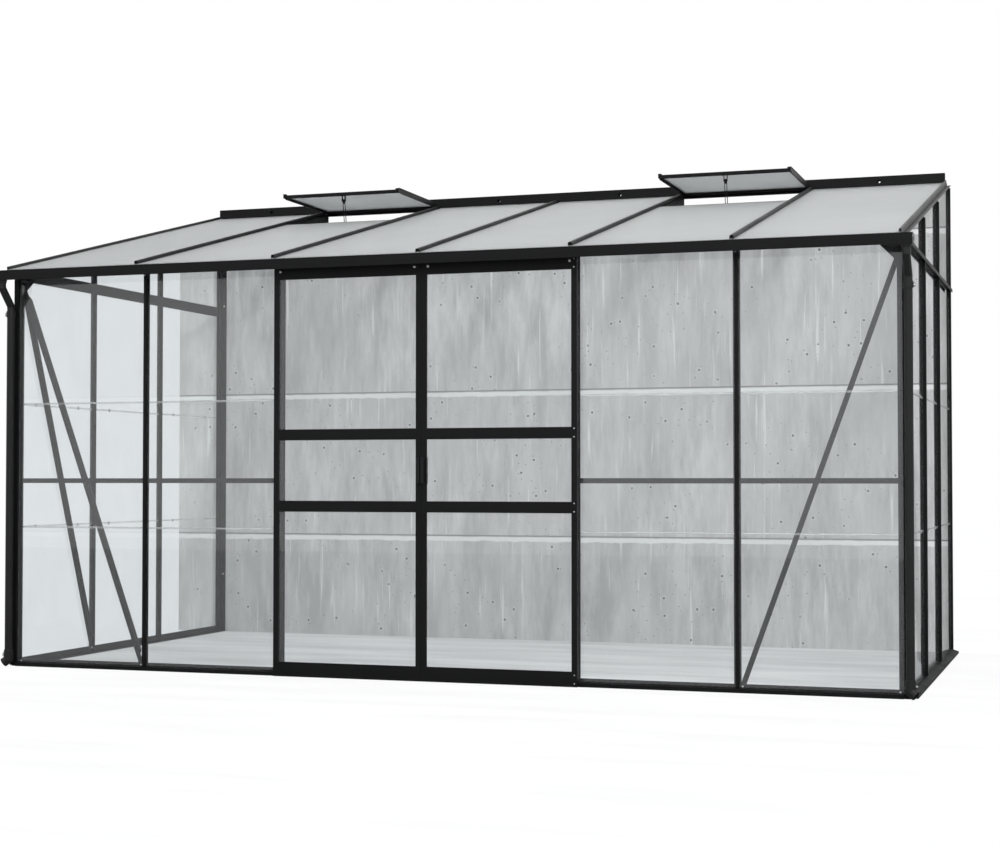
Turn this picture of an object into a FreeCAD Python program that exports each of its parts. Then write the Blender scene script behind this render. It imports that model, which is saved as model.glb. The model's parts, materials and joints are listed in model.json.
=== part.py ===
import FreeCAD
import Part
import math
import os
from FreeCAD import Vector

os.makedirs("parts", exist_ok=True)

# Driving sizes, in millimetres and degrees
bay_width = 622.0
half_bays = 3
side_bay = 616.0
side_bays = 3
track_z = 1648.0
roof_angle = math.atan(0.2462)
glass = 4.0
pane_fit = 0.3
pane_gap = 2.5
wall_t = 2.0
beam_t = 2.5

# Front wall
sill_top = 32.0
glass_seat = 20.0
lower_joint = 590.5
upper_joint = 1113.5
joint_gap = 1.5
glass_over_track = 22.0
mid_rail_z = 777.0
mid_rail_h = 20.0
mid_rail_lip = 6.0
mid_rail_t = 1.5

# Roof
roof_over_track = 55.0
eave_overhang = 90.0
bar_overhang = 78.0
cap_setback = 2.0
rafter_depth = 44.0
rafter_start = 18.0

# Glazing bar, measured across and outward from the glass face
flange_half = 14.0
bar_depth = 14.0
channel_half = 6.5
channel_lip = 2.5
channel_t = 1.5
spine_half = 1.0
spine_top = 9.0
cap_half = 7.5
cap_h = 14.0
cap_foot = 1.5
cap_fit = 0.2
cap_short = 14.0

# Corner and wall posts
post_in = 12.0
post_out = 10.0
post_flange = 32.0
post_groove = 1.2
wall_gap = 20.0
wall_flange = 8.0
wall_leg = 20.0
wall_hole_z = 300.0
wall_hole_span = 1400.0
wall_hole_in = 6.0

# Sills
front_ledge = 18.0
end_ledge = 35.0
front_lip = 15.0
end_lip = 9.0
anchor_flange = 34.0
anchor_in = 12.0
anchor_r = 4.5
sill_setback = 13.0

# Eave beam, gutter and door track
gutter_front = 118.0
gutter_back = 53.0
gutter_drop = 15.0
gutter_h = 42.0
gutter_lip = 8.0
gutter_fall = 10.0
gutter_reach = 35.0
track_edge = 27.0
track_mid = 29.5
bead_h = 4.0
bead_w = 3.0
end_plate_t = 2.0

# End wall eave rail
rail_drop = 5.0
rail_h = 48.0
rail_leg = 8.0
ledge_up = 19.0
rail_ledge = 18.0
rail_lip = 14.5

# Gable profile, a raised strip over the roof glass and a lower one outside
gable_flange = 26.0
gable_in = 14.0
gable_stem = 5.0
gable_out = 12.0
gable_top = 12.0
gable_bevel = 2.0
gable_step = 15.0
gable_leg = 21.0
gable_clear = 27.0

# Wall plate
hood_rise = 39.1
hood_reach = 30.0
hood_h = 44.5
plate_ledge = 14.0
plate_hole = 24.0
tool_hole_r = 8.0
plate_inset = 13.0

# Sliding doors
leaf_w = 636.0
leaf_gap = 0.5
leaf_front = 45.0
leaf_back = 20.0
stile_w = 22.0
stile_box = 15.0
leaf_glass_front = 40.0
leaf_lip = 2.0
leaf_low = 2.0
leaf_drop = 3.0
bottom_rail_h = 58.0
top_rail_h = 47.5
mid_rails = (662.5, 949.0)
leaf_mid_h = 44.0
groove = 7.0
glass_in = 6.0
handle_low = 776.0
handle_h = 102.0
handle_out = 15.0
handle_back = 13.0
guide_low = 10.0
guide_h = 12.0

# Rollers and hangers
wheel_r = 9.0
wheel_groove_r = 6.5
wheel_w = 13.0
wheel_rest = 0.1
axle_r = 3.0
axle_fit = 0.05
hanger_inset = 28.0
hanger_w = 24.0
hanger_t = 3.0
hanger_below = 40.0
hanger_above = 8.0
hanger_bolt_drop = 15.0
bolt_r = 3.0
nut_r = 5.6
nut_h = 3.0
head_r = 5.5
head_h = 2.2
screw_r = 2.6
screw_h = 1.2

# Roof vents
vent_width = 602.0
vent_frame_w = 16.0
vent_low = 1.0
vent_lip = 13.0
vent_high = 17.0
vent_lift = 1.5
vent_glass_low = 9.0
vent_length = 515.0
vent_lap = 8.0
hinge_lift = 8.1
hook_gap = 6.5
hook_out = 6.2
hook_in = 4.1
bead_r = 3.6
neck_t = 3.0
stay_half_w = 6.3
stay_t = 3.0
stay_slot = 6.6
stay_len = 285.0
stay_eye_r = 5.5
lug_t = 2.0
lug_fit = 0.3
pin_over = 0.4
peg_r = 2.5
peg_past = 8.0
peg_drop = 22.0
stay_back = 26.0
pin_drop = 14.0

# Downpipes
pipe_r = 16.0
pipe_wall = 1.5
pipe_fit = 0.3
pipe_side = 12.0
pipe_front = 32.0
neck_front = 98.0
neck_drop = 121.0
funnel_h = 12.0
funnel_out = 4.0
collar_h = 24.0
collar_t = 3.0
collar_drop = 4.0
shoe_top = 70.0
shoe_low = 30.0

# Braces
brace_w = 20.0
brace_t = 2.0
brace_rib = 1.2
gusset_t = 2.0
brace_drop = 35.0
brace_foot_z = 26.0
brace_corner = 26.0
brace_bar = 19.0
gusset_reach = 98.0

half_w = bay_width * half_bays
depth = side_bay * side_bays
wall_y = depth + wall_gap
shift_y = (gutter_front - wall_y) / 2
cos_r = math.cos(roof_angle)
sin_r = math.sin(roof_angle)
tan_r = math.tan(roof_angle)
gutter_floor = track_z - gutter_drop
gutter_top = gutter_floor + gutter_h
front_glass_top = track_z + glass_over_track
roof_z = track_z + roof_over_track
leaf_top = track_z - leaf_drop
rail_low = track_z - rail_drop
rail_high = rail_low + rail_h
rail_ledge_z = rail_low + ledge_up
brace_top = track_z - brace_drop
neck_low = gutter_floor - neck_drop
hinge_back = wall_y - hood_reach - hook_gap
hinge_z = roof_z + tan_r * hinge_back + hinge_lift
plate_top = roof_z + tan_r * wall_y + hood_rise
plate_hole_z = plate_top - plate_hole
hood_low = plate_top - hood_h
axis_x = Vector(1, 0, 0)
axis_y = Vector(0, 1, 0)
axis_z = Vector(0, 0, 1)
roof_run = Vector(0, cos_r, sin_r)
roof_up = Vector(0, -sin_r, cos_r)
open_angle = math.degrees(roof_angle)
hinge = Vector(0, hinge_back, hinge_z)
anchor_bays = (-2.5, -1.5, 1.5, 2.5)
plate_bays = (-2.5, -0.5, 0.5, 2.5)


def save(name, shapes):
    # The model is drawn from the front glass face and stored about its footprint
    body = Part.makeCompound(shapes) if isinstance(shapes, list) else shapes.copy()
    body.translate(Vector(0, shift_y, 0))
    body.exportStep("parts/" + name + ".step")


def box(x0, x1, y0, y1, z0, z1):
    low = Vector(min(x0, x1), min(y0, y1), min(z0, z1))
    return Part.makeBox(abs(x1 - x0), abs(y1 - y0), abs(z1 - z0), low)


def section(outline, start, across, outward, run, hole=None):
    # Extrude a flat outline whose first value runs across and second outward
    faces = []
    for loop in [outline] + ([hole] if hole else []):
        points = [start + across * p[0] + outward * p[1] for p in loop]
        faces.append(Part.Face(Part.makePolygon(points + [points[0]])))
    face = faces[0].cut(faces[1]) if hole else faces[0]
    return face.extrude(run)


def both(half):
    # A symmetric outline from its right half, listed from the top down
    return half + [(-p[0], p[1]) for p in reversed(half)]


def rod(radius, start, direction, length):
    return Part.makeCylinder(radius, length, start, direction)


def roof_height(y, rise):
    # Height at y of the plane that lies rise above the roof glass
    return roof_z + rise / cos_r + tan_r * y


def roof_point(x, y, rise=0.0):
    # The point rise above the glass, square to the roof, over the glass at y
    return Vector(x, y, roof_z + tan_r * y) + roof_up * rise


def below_roof(shape, rise):
    # Cut away what lies above the plane rise from the roof glass
    reach = half_w * 2
    block = Part.makeBox(reach * 2, reach * 2, reach)
    block.translate(Vector(-reach, -reach, 0))
    block.rotate(Vector(0, 0, 0), axis_x, open_angle)
    block.translate(Vector(0, 0, roof_height(0, rise)))
    return shape.cut(block)


def corner_x(side, outward):
    return side * (half_w + outward)


# Glazing bars and their caps
def bar_outline(deep=bar_depth):
    inner = channel_half - channel_t
    return both([
        (spine_half, spine_top),
        (spine_half, -glass),
        (flange_half, -glass),
        (flange_half, -glass - wall_t),
        (channel_half, -glass - wall_t),
        (channel_half, -deep),
        (channel_lip, -deep),
        (channel_lip, -deep + channel_t),
        (inner, -deep + channel_t),
        (inner, -glass - wall_t - channel_t),
    ])


def channel_outline(top):
    inner = channel_half - channel_t
    return both([
        (channel_half, top),
        (channel_half, -bar_depth),
        (channel_lip, -bar_depth),
        (channel_lip, -bar_depth + channel_t),
        (inner, -bar_depth + channel_t),
        (inner, top - channel_t),
    ])


def tee_outline(deep=bar_depth):
    # The bar without its outer spine, for the stretch under the hood
    outline = bar_outline(deep)
    return [p for p in outline if p[1] <= -glass and abs(p[0]) > spine_half]


def cap_outline():
    grip = spine_half + cap_fit
    grip_wall = 1.4
    shoulder = 4.0
    roof_t = 1.6
    return both([
        (cap_half - 2, cap_h),
        (cap_half, cap_h - shoulder),
        (cap_half, 0),
        (cap_half - cap_foot, 0),
        (cap_half - cap_foot, cap_h - shoulder - 0.5),
        (cap_half - 2.9, cap_h - roof_t),
        (grip + grip_wall, cap_h - roof_t),
        (grip + grip_wall, 5),
        (grip, 5),
        (grip, spine_top + 1),
    ])


def wall_bar(start, across, outward, z_top, channel_top):
    # An upright bar, notched where it stands against the sill and the eave
    foot = start + axis_z * sill_top
    body = section(bar_outline(), foot, across, outward, axis_z * (z_top - sill_top))
    low = section(channel_outline(-glass - wall_t), start + axis_z * wall_t, across, outward,
                  axis_z * (sill_top - wall_t))
    bar = body.fuse(low)
    if channel_top > z_top:
        high = section(channel_outline(-glass - wall_t), start + axis_z * z_top, across, outward,
                       axis_z * (channel_top - z_top))
        bar = bar.fuse(high)
    return bar.removeSplitter()


def front_bars():
    bars = []
    beam_under = roof_height(bar_depth, -bar_depth) - beam_t / cos_r - 4
    for n in (-2, -1, 1, 2):
        start = Vector(n * bay_width, 0, 0)
        bars.append(wall_bar(start, axis_x, -axis_y, track_z + 2, beam_under))
    return bars


def front_caps():
    caps = []
    for n in (-2, -1, 1, 2):
        start = Vector(n * bay_width, 0, glass_seat)
        caps.append(section(cap_outline(), start, axis_x, -axis_y,
                            axis_z * (front_glass_top - cap_short - glass_seat)))
    return caps


def end_bars():
    bars = []
    for side in (-1, 1):
        for n in range(1, side_bays):
            start = Vector(corner_x(side, 0), n * side_bay, 0)
            bars.append(wall_bar(start, axis_y, axis_x * side, rail_low, rail_low))
            upper = section(bar_outline(), start + axis_z * rail_high, axis_y, axis_x * side,
                            axis_z * (plate_top - rail_high))
            bars.append(below_roof(upper, -gable_leg))
    return bars


def end_caps():
    caps = []
    for side in (-1, 1):
        for n in range(1, side_bays):
            start = Vector(corner_x(side, 0), n * side_bay, glass_seat)
            caps.append(section(cap_outline(), start, axis_y, axis_x * side,
                                axis_z * (rail_ledge_z - 1 - glass_seat)))
            start = Vector(corner_x(side, 0), n * side_bay, rail_ledge_z + beam_t + 1)
            upper = section(cap_outline(), start, axis_y, axis_x * side,
                            axis_z * (plate_top - rail_high))
            caps.append(below_roof(upper, -gable_clear))
    return caps


def rafter_length(outline, x, y0, y1):
    # A stretch of roof bar between two places given by their distance from the front
    return section(outline, roof_point(x, y0), axis_x, roof_up, roof_run * ((y1 - y0) / cos_r))


def roof_bars():
    # Deep rafters, shallow over the eave beam and where their tails sit on the wall plate
    bars = []
    spine_end = hinge_back - hook_out - 2
    deep_end = wall_y - beam_t - plate_ledge - 1
    for n in range(1 - half_bays, half_bays):
        x = n * bay_width
        front = rafter_length(bar_outline(), x, -bar_overhang, rafter_start)
        main = rafter_length(bar_outline(rafter_depth), x, rafter_start, spine_end)
        rear = rafter_length(tee_outline(rafter_depth), x, spine_end, wall_y)
        rear = rear.cut(box(x - bay_width, x + bay_width, deep_end, 2 * wall_y, 0, plate_top * 2))
        tail = rafter_length(tee_outline(), x, spine_end, wall_y - 10)
        bars.append(front.fuse(main).fuse(rear).fuse(tail).removeSplitter())
    return bars


def roof_caps():
    caps = []
    foot = -eave_overhang + cap_setback
    run = (hinge_back - hook_out - 4 - foot) / cos_r
    for n in range(1 - half_bays, half_bays):
        start = roof_point(n * bay_width, foot)
        caps.append(section(cap_outline(), start, axis_x, roof_up, roof_run * run))
    return caps


# Posts
def post_outline(inner_edge):
    return [
        (-post_flange, -glass),
        (-post_in, -glass),
        (-post_in, post_out),
        (-3, post_out),
        (-2, post_out - post_groove),
        (2, post_out - post_groove),
        (3, post_out),
        (post_out, post_out),
        (post_out, -post_in),
        (-glass, -post_in),
        (-glass, -inner_edge),
        (-glass - wall_t, -inner_edge),
        (-glass - wall_t, -post_in),
        (-post_in, -post_in),
        (-post_in, -glass - wall_t),
        (-post_flange, -glass - wall_t),
    ]


def corner_post(side):
    low = -post_in + wall_t
    high = post_out - wall_t
    hole = [(low, low), (high, low), (high, high - post_groove), (low, high - post_groove)]
    start = Vector(corner_x(side, 0), 0, 0)
    post = section(post_outline(post_flange), start, axis_x * side, -axis_y, axis_z * roof_z, hole)
    # The flanges stop on the sills, the tube goes down to the ground
    notch_a = box(corner_x(side, -post_flange - 1), corner_x(side, -post_in), 0, post_flange, 0, sill_top)
    notch_b = box(corner_x(side, -post_in), corner_x(side, 0), post_in, post_flange + 1, 0, sill_top)
    return post_top(post.cut(notch_a).cut(notch_b), side, -post_in, post_in)


def post_top(post, side, y0, y1):
    # The inner half reaches up under the gable profile, the outer half stops lower
    outside = box(corner_x(side, wall_t), corner_x(side, post_out + 1), y0, y1, 0, 2 * plate_top)
    outside = outside.cut(below_roof(outside, -gable_clear))
    return below_roof(post, -gable_leg).cut(outside)


def wall_post(side):
    # The tube stands in the last 20 mm before the wall and carries a fixing flange
    flange = post_flange + wall_flange
    outline = [
        (-post_in, 0),
        (post_out, 0),
        (post_out, wall_gap),
        (-flange, wall_gap),
        (-flange, wall_gap - wall_t),
        (-post_in, wall_gap - wall_t),
    ]
    hole = [
        (-post_in + wall_t, wall_t),
        (post_out - wall_t, wall_t),
        (post_out - wall_t, wall_gap - wall_t),
        (-post_in + wall_t, wall_gap - wall_t),
    ]
    start = Vector(corner_x(side, 0), depth, 0)
    post = section(outline, start, axis_x * side, axis_y, axis_z * plate_top, hole)
    leg = box(corner_x(side, -glass - wall_t), corner_x(side, -glass), depth - wall_leg, depth,
              sill_top, plate_top)
    post = post.fuse(leg).removeSplitter()
    for z in (wall_hole_z, wall_hole_z + wall_hole_span):
        start = Vector(corner_x(side, -post_flange + wall_hole_in), wall_y - wall_t - 1, z)
        post = post.cut(rod(anchor_r, start, axis_y, wall_t + 2))
    return post_top(post, side, depth - 1, wall_y + 1)


# Sills
def sill_outline(ledge, lip):
    return [
        (-anchor_flange, 0),
        (ledge, 0),
        (ledge, lip),
        (0, glass_seat),
        (-glass, glass_seat),
        (-glass, sill_top),
        (-glass - wall_t, sill_top),
        (-glass - wall_t, wall_t),
        (-anchor_flange, wall_t),
    ]


def sill_hole(ledge, lip):
    return [
        (-glass, wall_t),
        (ledge - wall_t, wall_t),
        (ledge - wall_t, lip - wall_t),
        (-glass, glass_seat - wall_t),
    ]


def front_sill():
    reach = half_w - sill_setback
    start = Vector(-reach, 0, 0)
    sill = section(sill_outline(front_ledge, front_lip), start, -axis_y, axis_z, axis_x * (2 * reach),
                   sill_hole(front_ledge, front_lip))
    for side in (-1, 1):
        sill = sill.cut(box(corner_x(side, -anchor_flange - 2), corner_x(side, 0),
                            glass + wall_t, anchor_flange + 1, -1, wall_t))
    for n in anchor_bays:
        start = Vector(n * bay_width, anchor_flange - anchor_in, -1)
        sill = sill.cut(rod(anchor_r, start, axis_z, wall_t + 2))
    return sill


def end_sill(side):
    start = Vector(corner_x(side, 0), sill_setback, 0)
    run = axis_y * (depth - 1 - sill_setback)
    sill = section(sill_outline(end_ledge, end_lip), start, axis_x * side, axis_z, run,
                   sill_hole(end_ledge, end_lip))
    for n in (0, side_bays - 1):
        start = Vector(corner_x(side, -anchor_flange + anchor_in), (n + 0.5) * side_bay, -1)
        sill = sill.cut(rod(anchor_r, start, axis_z, wall_t + 2))
    return sill


# Eave beam with gutter and door track in one profile
def eave_outline():
    def top(y):
        return roof_height(y, -bar_depth)

    def under(y):
        return top(y) - beam_t / cos_r

    track_back = gutter_back - beam_t
    web_in = bar_depth
    web_out = bar_depth + beam_t
    slot_low = track_z + 2
    return [
        (-gutter_front, gutter_floor),
        (-gutter_front, gutter_top),
        (-gutter_front + gutter_lip, gutter_top),
        (-gutter_front + gutter_lip, gutter_top - beam_t),
        (-gutter_front + beam_t, gutter_top - beam_t),
        (-gutter_front + beam_t, floor_under(-gutter_front + beam_t) + beam_t),
        (-gutter_back, floor_under(-gutter_back) + beam_t),
        (-gutter_back, top(-gutter_back)),
        (web_out, top(web_out)),
        (web_out, slot_low),
        (web_in, slot_low),
        (web_in, under(web_in)),
        (glass + wall_t, under(glass + wall_t)),
        (glass + wall_t, slot_low),
        (glass, slot_low),
        (glass, under(glass)),
        (0, under(0)),
        (0, front_glass_top - cap_short),
        (-3, front_glass_top - cap_short),
        (-3, under(-3)),
        (-track_back, under(-track_back)),
        (-track_back, track_z + beam_t),
        (-track_mid - bead_w / 2, track_z + beam_t),
        (-track_mid - bead_w / 2, track_z + beam_t + bead_h),
        (-track_mid + bead_w / 2, track_z + beam_t + bead_h),
        (-track_mid + bead_w / 2, track_z + beam_t),
        (-track_edge, track_z + beam_t),
        (-track_edge, track_z),
        (-track_back, track_z),
        (-track_back, floor_under(-track_back)),
    ]


def floor_under(y):
    # The gutter's underside rises from its front edge to the door track
    return gutter_floor + gutter_fall * (y + gutter_front) / (gutter_front - gutter_back + beam_t)


def eave_gutter():
    reach = half_w + gutter_reach
    start = Vector(-reach, 0, 0)
    beam = section(eave_outline(), start, axis_y, axis_z, axis_x * (2 * reach))
    for side in (-1, 1):
        beam = beam.cut(box(corner_x(side, -sill_setback), corner_x(side, gutter_reach + 1),
                            -gutter_back + beam_t, wall_gap, sill_top, plate_top))
        beam = beam.cut(box(corner_x(side, -post_flange - 1), corner_x(side, -sill_setback), glass,
                            glass + wall_t, track_z, roof_z))
        # The gable profile passes over the trough's back web in a notch
        beam = beam.cut(box(corner_x(side, -gable_stem - wall_t - 1), corner_x(side, gable_out + 1),
                            -gutter_back - 1, -gutter_back + beam_t + 1,
                            roof_height(-gutter_back, -gable_leg) - 1, roof_z))
        beam = beam.cut(rod(pipe_r - pipe_wall, Vector(corner_x(side, pipe_side), -neck_front,
                                                       gutter_floor - 1), axis_z, gutter_h / 2))
    return beam


def gutter_ends():
    # A plate closes each end of the trough
    ends = []
    for side in (-1, 1):
        ends.append(box(corner_x(side, gutter_reach), corner_x(side, gutter_reach + end_plate_t),
                        -gutter_front, -gutter_back + beam_t, gutter_floor - 1, gutter_top + 1))
    return ends


# End wall rail at eave level
def end_rail(side):
    inner = -glass - rail_leg
    web = [
        (-glass, rail_low),
        (-glass, rail_high),
        (inner, rail_high),
        (inner, rail_high - wall_t),
        (-glass - wall_t, rail_high - wall_t),
        (-glass - wall_t, rail_low + wall_t),
        (inner, rail_low + wall_t),
        (inner, rail_low),
    ]
    ledge = [
        (-glass, rail_ledge_z),
        (-glass, rail_ledge_z + beam_t),
        (rail_ledge, rail_ledge_z + beam_t),
        (rail_ledge, rail_ledge_z + beam_t - rail_lip),
        (rail_ledge - beam_t, rail_ledge_z + beam_t - rail_lip),
        (rail_ledge - beam_t, rail_ledge_z),
    ]
    edge = post_flange + 1
    start = Vector(corner_x(side, 0), edge, 0)
    rail = section(web, start, axis_x * side, axis_z, axis_y * (depth - wall_leg - 1 - edge))
    start = Vector(corner_x(side, 0), sill_setback, 0)
    outer = section(ledge, start, axis_x * side, axis_z, axis_y * (depth - 1 - sill_setback))
    rail = rail.cut(box(corner_x(side, inner - 1), corner_x(side, -glass - wall_t), 0,
                        gusset_reach + 2, rail_low - 1, rail_low + wall_t))
    rail = below_roof(rail, -gable_leg)
    return rail.fuse(outer).removeSplitter()


# Gable profile, the roof's edge bar with a slot for the end glass
def gable_bar(side):
    edge = gable_bevel
    stem = gable_stem + wall_t
    under = -glass - wall_t
    low = -gable_step - beam_t
    outline = [
        (-gable_in, 0),
        (-gable_in, gable_top - edge),
        (-gable_in + edge, gable_top),
        (-gable_stem - edge, gable_top),
        (-gable_stem, gable_top - edge),
        (-gable_stem, -gable_step),
        (gable_out, -gable_step),
        (gable_out, low),
        (wall_t, low),
        (wall_t, -gable_leg),
        (0, -gable_leg),
        (0, low),
        (-glass, low),
        (-glass, -gable_leg),
        (under, -gable_leg),
        (under, low),
        (-stem, low),
        (-stem, under),
        (-gable_flange, under),
        (-gable_flange, -glass),
        (-stem, -glass),
        (-stem, gable_top - wall_t),
        (-gable_in + wall_t, gable_top - wall_t),
        (-gable_in + wall_t, 0),
    ]
    foot = -eave_overhang + cap_setback
    start = roof_point(corner_x(side, 0), foot)
    bar = section(outline, start, axis_x * side, roof_up, roof_run * ((wall_y - foot) / cos_r))
    # It ends at the plate's web, and its raised strip just before the hood
    inner = corner_x(side, -gable_flange - 1)
    outer = corner_x(side, gable_out + 1)
    bar = bar.cut(box(inner, outer, wall_y - beam_t, 2 * wall_y, 0, 2 * plate_top))
    raised = box(inner, outer, wall_y - hood_reach - 0.5, wall_y, 0, plate_top)
    return bar.cut(raised.cut(below_roof(raised, -glass)))


# Wall plate with hood and bar ledge
def wall_plate():
    def top(y):
        return roof_height(y, -bar_depth)

    front = wall_y - hood_reach
    back = wall_y - beam_t
    ledge_front = back - plate_ledge
    outline = [
        (wall_y, top(back) - beam_t / cos_r),
        (wall_y, plate_top),
        (front, plate_top),
        (front, hood_low),
        (front + beam_t, hood_low),
        (front + beam_t, plate_top - beam_t),
        (back, plate_top - beam_t),
        (back, top(back)),
        (ledge_front, top(ledge_front)),
        (ledge_front, top(ledge_front) - beam_t / cos_r),
        (back, top(back) - beam_t / cos_r),
    ]
    reach = half_w - plate_inset
    start = Vector(-reach, 0, 0)
    plate = section(outline, start, axis_y, axis_z, axis_x * (2 * reach))
    for n in plate_bays:
        # A fixing hole in the web and a wider one in the hood's face for the tool
        start = Vector(n * bay_width, wall_y - beam_t - 1, plate_hole_z)
        plate = plate.cut(rod(anchor_r, start, axis_y, beam_t + 2))
        start = Vector(n * bay_width, wall_y - hood_reach - 1, plate_hole_z)
        plate = plate.cut(rod(tool_hole_r, start, axis_y, beam_t + 2))
    return plate


# Glass
def pane_bounds(low, high, count, last_low, last_high):
    # The clear stretch of each bay between bars, and the two ends' own edges
    spans = []
    step = (high - low) / count
    for n in range(count):
        a = low + n * step + pane_gap
        b = low + (n + 1) * step - pane_gap
        if n == 0:
            a = last_low
        if n == count - 1:
            b = last_high
        spans.append((a, b))
    return spans


def pane_rows(top):
    gap = joint_gap / 2
    return [
        (glass_seat, lower_joint - gap),
        (lower_joint + gap, upper_joint - gap),
        (upper_joint + gap, top),
    ]


def front_spans():
    left = -half_w + sill_setback
    return [
        (left, -2 * bay_width - pane_gap),
        (-2 * bay_width + pane_gap, -bay_width - pane_gap),
        (bay_width + pane_gap, 2 * bay_width - pane_gap),
        (2 * bay_width + pane_gap, -left),
    ]


def front_glass():
    panes = []
    for x0, x1 in front_spans():
        for z0, z1 in pane_rows(front_glass_top):
            panes.append(box(x0, x1, 0, glass - pane_fit, z0, z1))
    return panes


def end_spans():
    return pane_bounds(0, depth, side_bays, sill_setback, depth - 1)


def end_glass(side):
    panes = []
    outer = corner_x(side, 0)
    inner = corner_x(side, pane_fit - glass)
    for y0, y1 in end_spans():
        for z0, z1 in pane_rows(rail_ledge_z - 6):
            panes.append(box(inner, outer, y0, y1, z0, z1))
        upper = box(inner, outer, y0, y1, rail_ledge_z + beam_t + 1, plate_top)
        panes.append(below_roof(upper, -gable_step - beam_t - pane_fit))
    return panes


def transom_y():
    # The vent lies on the roof from its hinge down to the transom
    return hinge_back - (vent_length - vent_lap) * cos_r


def roof_glass():
    panes = []
    for n in range(-half_bays, half_bays):
        x0 = n * bay_width + pane_gap
        x1 = (n + 1) * bay_width - pane_gap
        if n == -half_bays:
            x0 = n * bay_width + gable_stem + wall_t + pane_gap
        if n == half_bays - 1:
            x1 = (n + 1) * bay_width - gable_stem - wall_t - pane_gap
        y1 = transom_y() - 1 if n in (-2, 1) else wall_y - 18
        outline = [(x0, pane_fit - glass), (x1, pane_fit - glass), (x1, 0), (x0, 0)]
        panes.append(section(outline, roof_point(0, -eave_overhang), axis_x, roof_up,
                             roof_run * ((y1 + eave_overhang) / cos_r)))
    return panes


def pane_strips():
    # Thin clear joining strips, H-shaped, hold the edges of stacked panes
    reach = 4.0
    lath = 1.0
    clear = flange_half + 1
    gap = joint_gap / 2 - 0.05
    outline = [
        (0, reach), (lath, reach), (lath, -reach), (0, -reach), (0, -gap), (-glass, -gap),
        (-glass, -reach), (-glass - lath, -reach), (-glass - lath, reach), (-glass, reach),
        (-glass, gap), (0, gap),
    ]
    strips = []
    for z in (lower_joint, upper_joint):
        for a, b in ((-3, -2), (-2, -1), (1, 2), (2, 3)):
            x0 = a * bay_width + clear
            x1 = b * bay_width - clear
            if a == -3:
                x0 = -half_w + post_flange + 1
            if b == 3:
                x1 = half_w - post_flange - 1
            strips.append(section(outline, Vector(x0, 0, z), -axis_y, axis_z, axis_x * (x1 - x0)))
        for side in (-1, 1):
            for n in range(side_bays):
                y0 = n * side_bay + clear
                y1 = (n + 1) * side_bay - clear
                if n == 0:
                    y0 = post_flange + 1
                if n == side_bays - 1:
                    y1 = depth - wall_leg - 1
                strips.append(section(outline, Vector(corner_x(side, 0), y0, z), axis_x * side, axis_z,
                                      axis_y * (y1 - y0)))
    return strips


# Mid rails of the fixed front bays
def mid_rail_set():
    inner = glass + wall_t
    back = inner + mid_rail_t
    rails = []
    for a, b in ((-3, -2), (-2, -1), (1, 2), (2, 3)):
        x0 = a * bay_width + flange_half
        x1 = b * bay_width - flange_half
        tongue0 = a * bay_width + channel_half
        tongue1 = b * bay_width - channel_half
        if a == -3:
            x0 = -half_w + post_flange
            tongue0 = -half_w + sill_setback
        if b == 3:
            x1 = half_w - post_flange
            tongue1 = half_w - sill_setback
        low = mid_rail_z
        high = mid_rail_z + mid_rail_h
        web = box(x0, x1, glass, back, low, high)
        groove_cut = box(x0 - 1, x1 + 1, glass + mid_rail_t, back + 1, low + mid_rail_lip,
                         high - mid_rail_lip)
        tongue = box(tongue0, tongue1, inner, back, low, low + mid_rail_lip)
        tongue_b = box(tongue0, tongue1, inner, back, high - mid_rail_lip, high)
        rails.append(web.cut(groove_cut).fuse(tongue).fuse(tongue_b).removeSplitter())
    return rails


# Gussets and braces
def brace_bar_between(a, b, side_normal):
    # A flat bar with a stiffening rib, from a to b, lying flat on side_normal
    along = b - a
    length = along.Length
    along.normalize()
    across = side_normal.cross(along)
    rib = 3.0
    crest = brace_t + brace_rib
    outline = [
        (-brace_w / 2, 0), (brace_w / 2, 0), (brace_w / 2, brace_t), (rib, brace_t),
        (rib - 1, crest), (1 - rib, crest), (-rib, brace_t), (-brace_w / 2, brace_t),
    ]
    past = 8.0
    return section(outline, a - along * past, across, side_normal, along * (length + 2 * past))


def gusset_top(corner, direction, normal):
    # Corner plate: direction points along the wall, normal into the house
    near = sill_setback
    head = 45.0
    outline = [(near, head), (gusset_reach, head), (gusset_reach, head - 14), (43, -24), (near, -24)]
    start = corner + axis_z * (brace_top + 10)
    return section(outline, start, direction, axis_z, normal * gusset_t)


def gusset_foot(point, direction, normal):
    low = wall_t
    high = brace_foot_z + 11
    outline = [(-14, low), (10, low), (10, high - 4), (6, high), (-14, high)]
    start = Vector(point.x, point.y, 0)
    return section(outline, start, direction, axis_z, normal * gusset_t)


def brace_frames():
    # Start corner, direction along the wall, inward normal and distance of the foot
    inset = glass + wall_t
    frames = []
    for side in (-1, 1):
        corner = Vector(corner_x(side, 0), inset, 0)
        frames.append((corner, axis_x * -side, axis_y, bay_width - brace_bar))
        corner = Vector(corner_x(side, -inset), 0, 0)
        frames.append((corner, axis_y, axis_x * -side, side_bay - brace_bar))
    return frames


def wall_braces():
    bars = []
    for corner, direction, normal, foot in brace_frames():
        base = corner + normal * gusset_t
        top = base + direction * brace_corner + axis_z * brace_top
        low = base + direction * foot + axis_z * brace_foot_z
        bars.append(brace_bar_between(top, low, normal))
    return bars


def corner_gussets():
    plates = []
    for corner, direction, normal, foot in brace_frames():
        plates.append(gusset_top(corner, direction, normal))
        plates.append(gusset_foot(corner + direction * foot + axis_z * brace_foot_z, direction, normal))
    return plates


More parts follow.
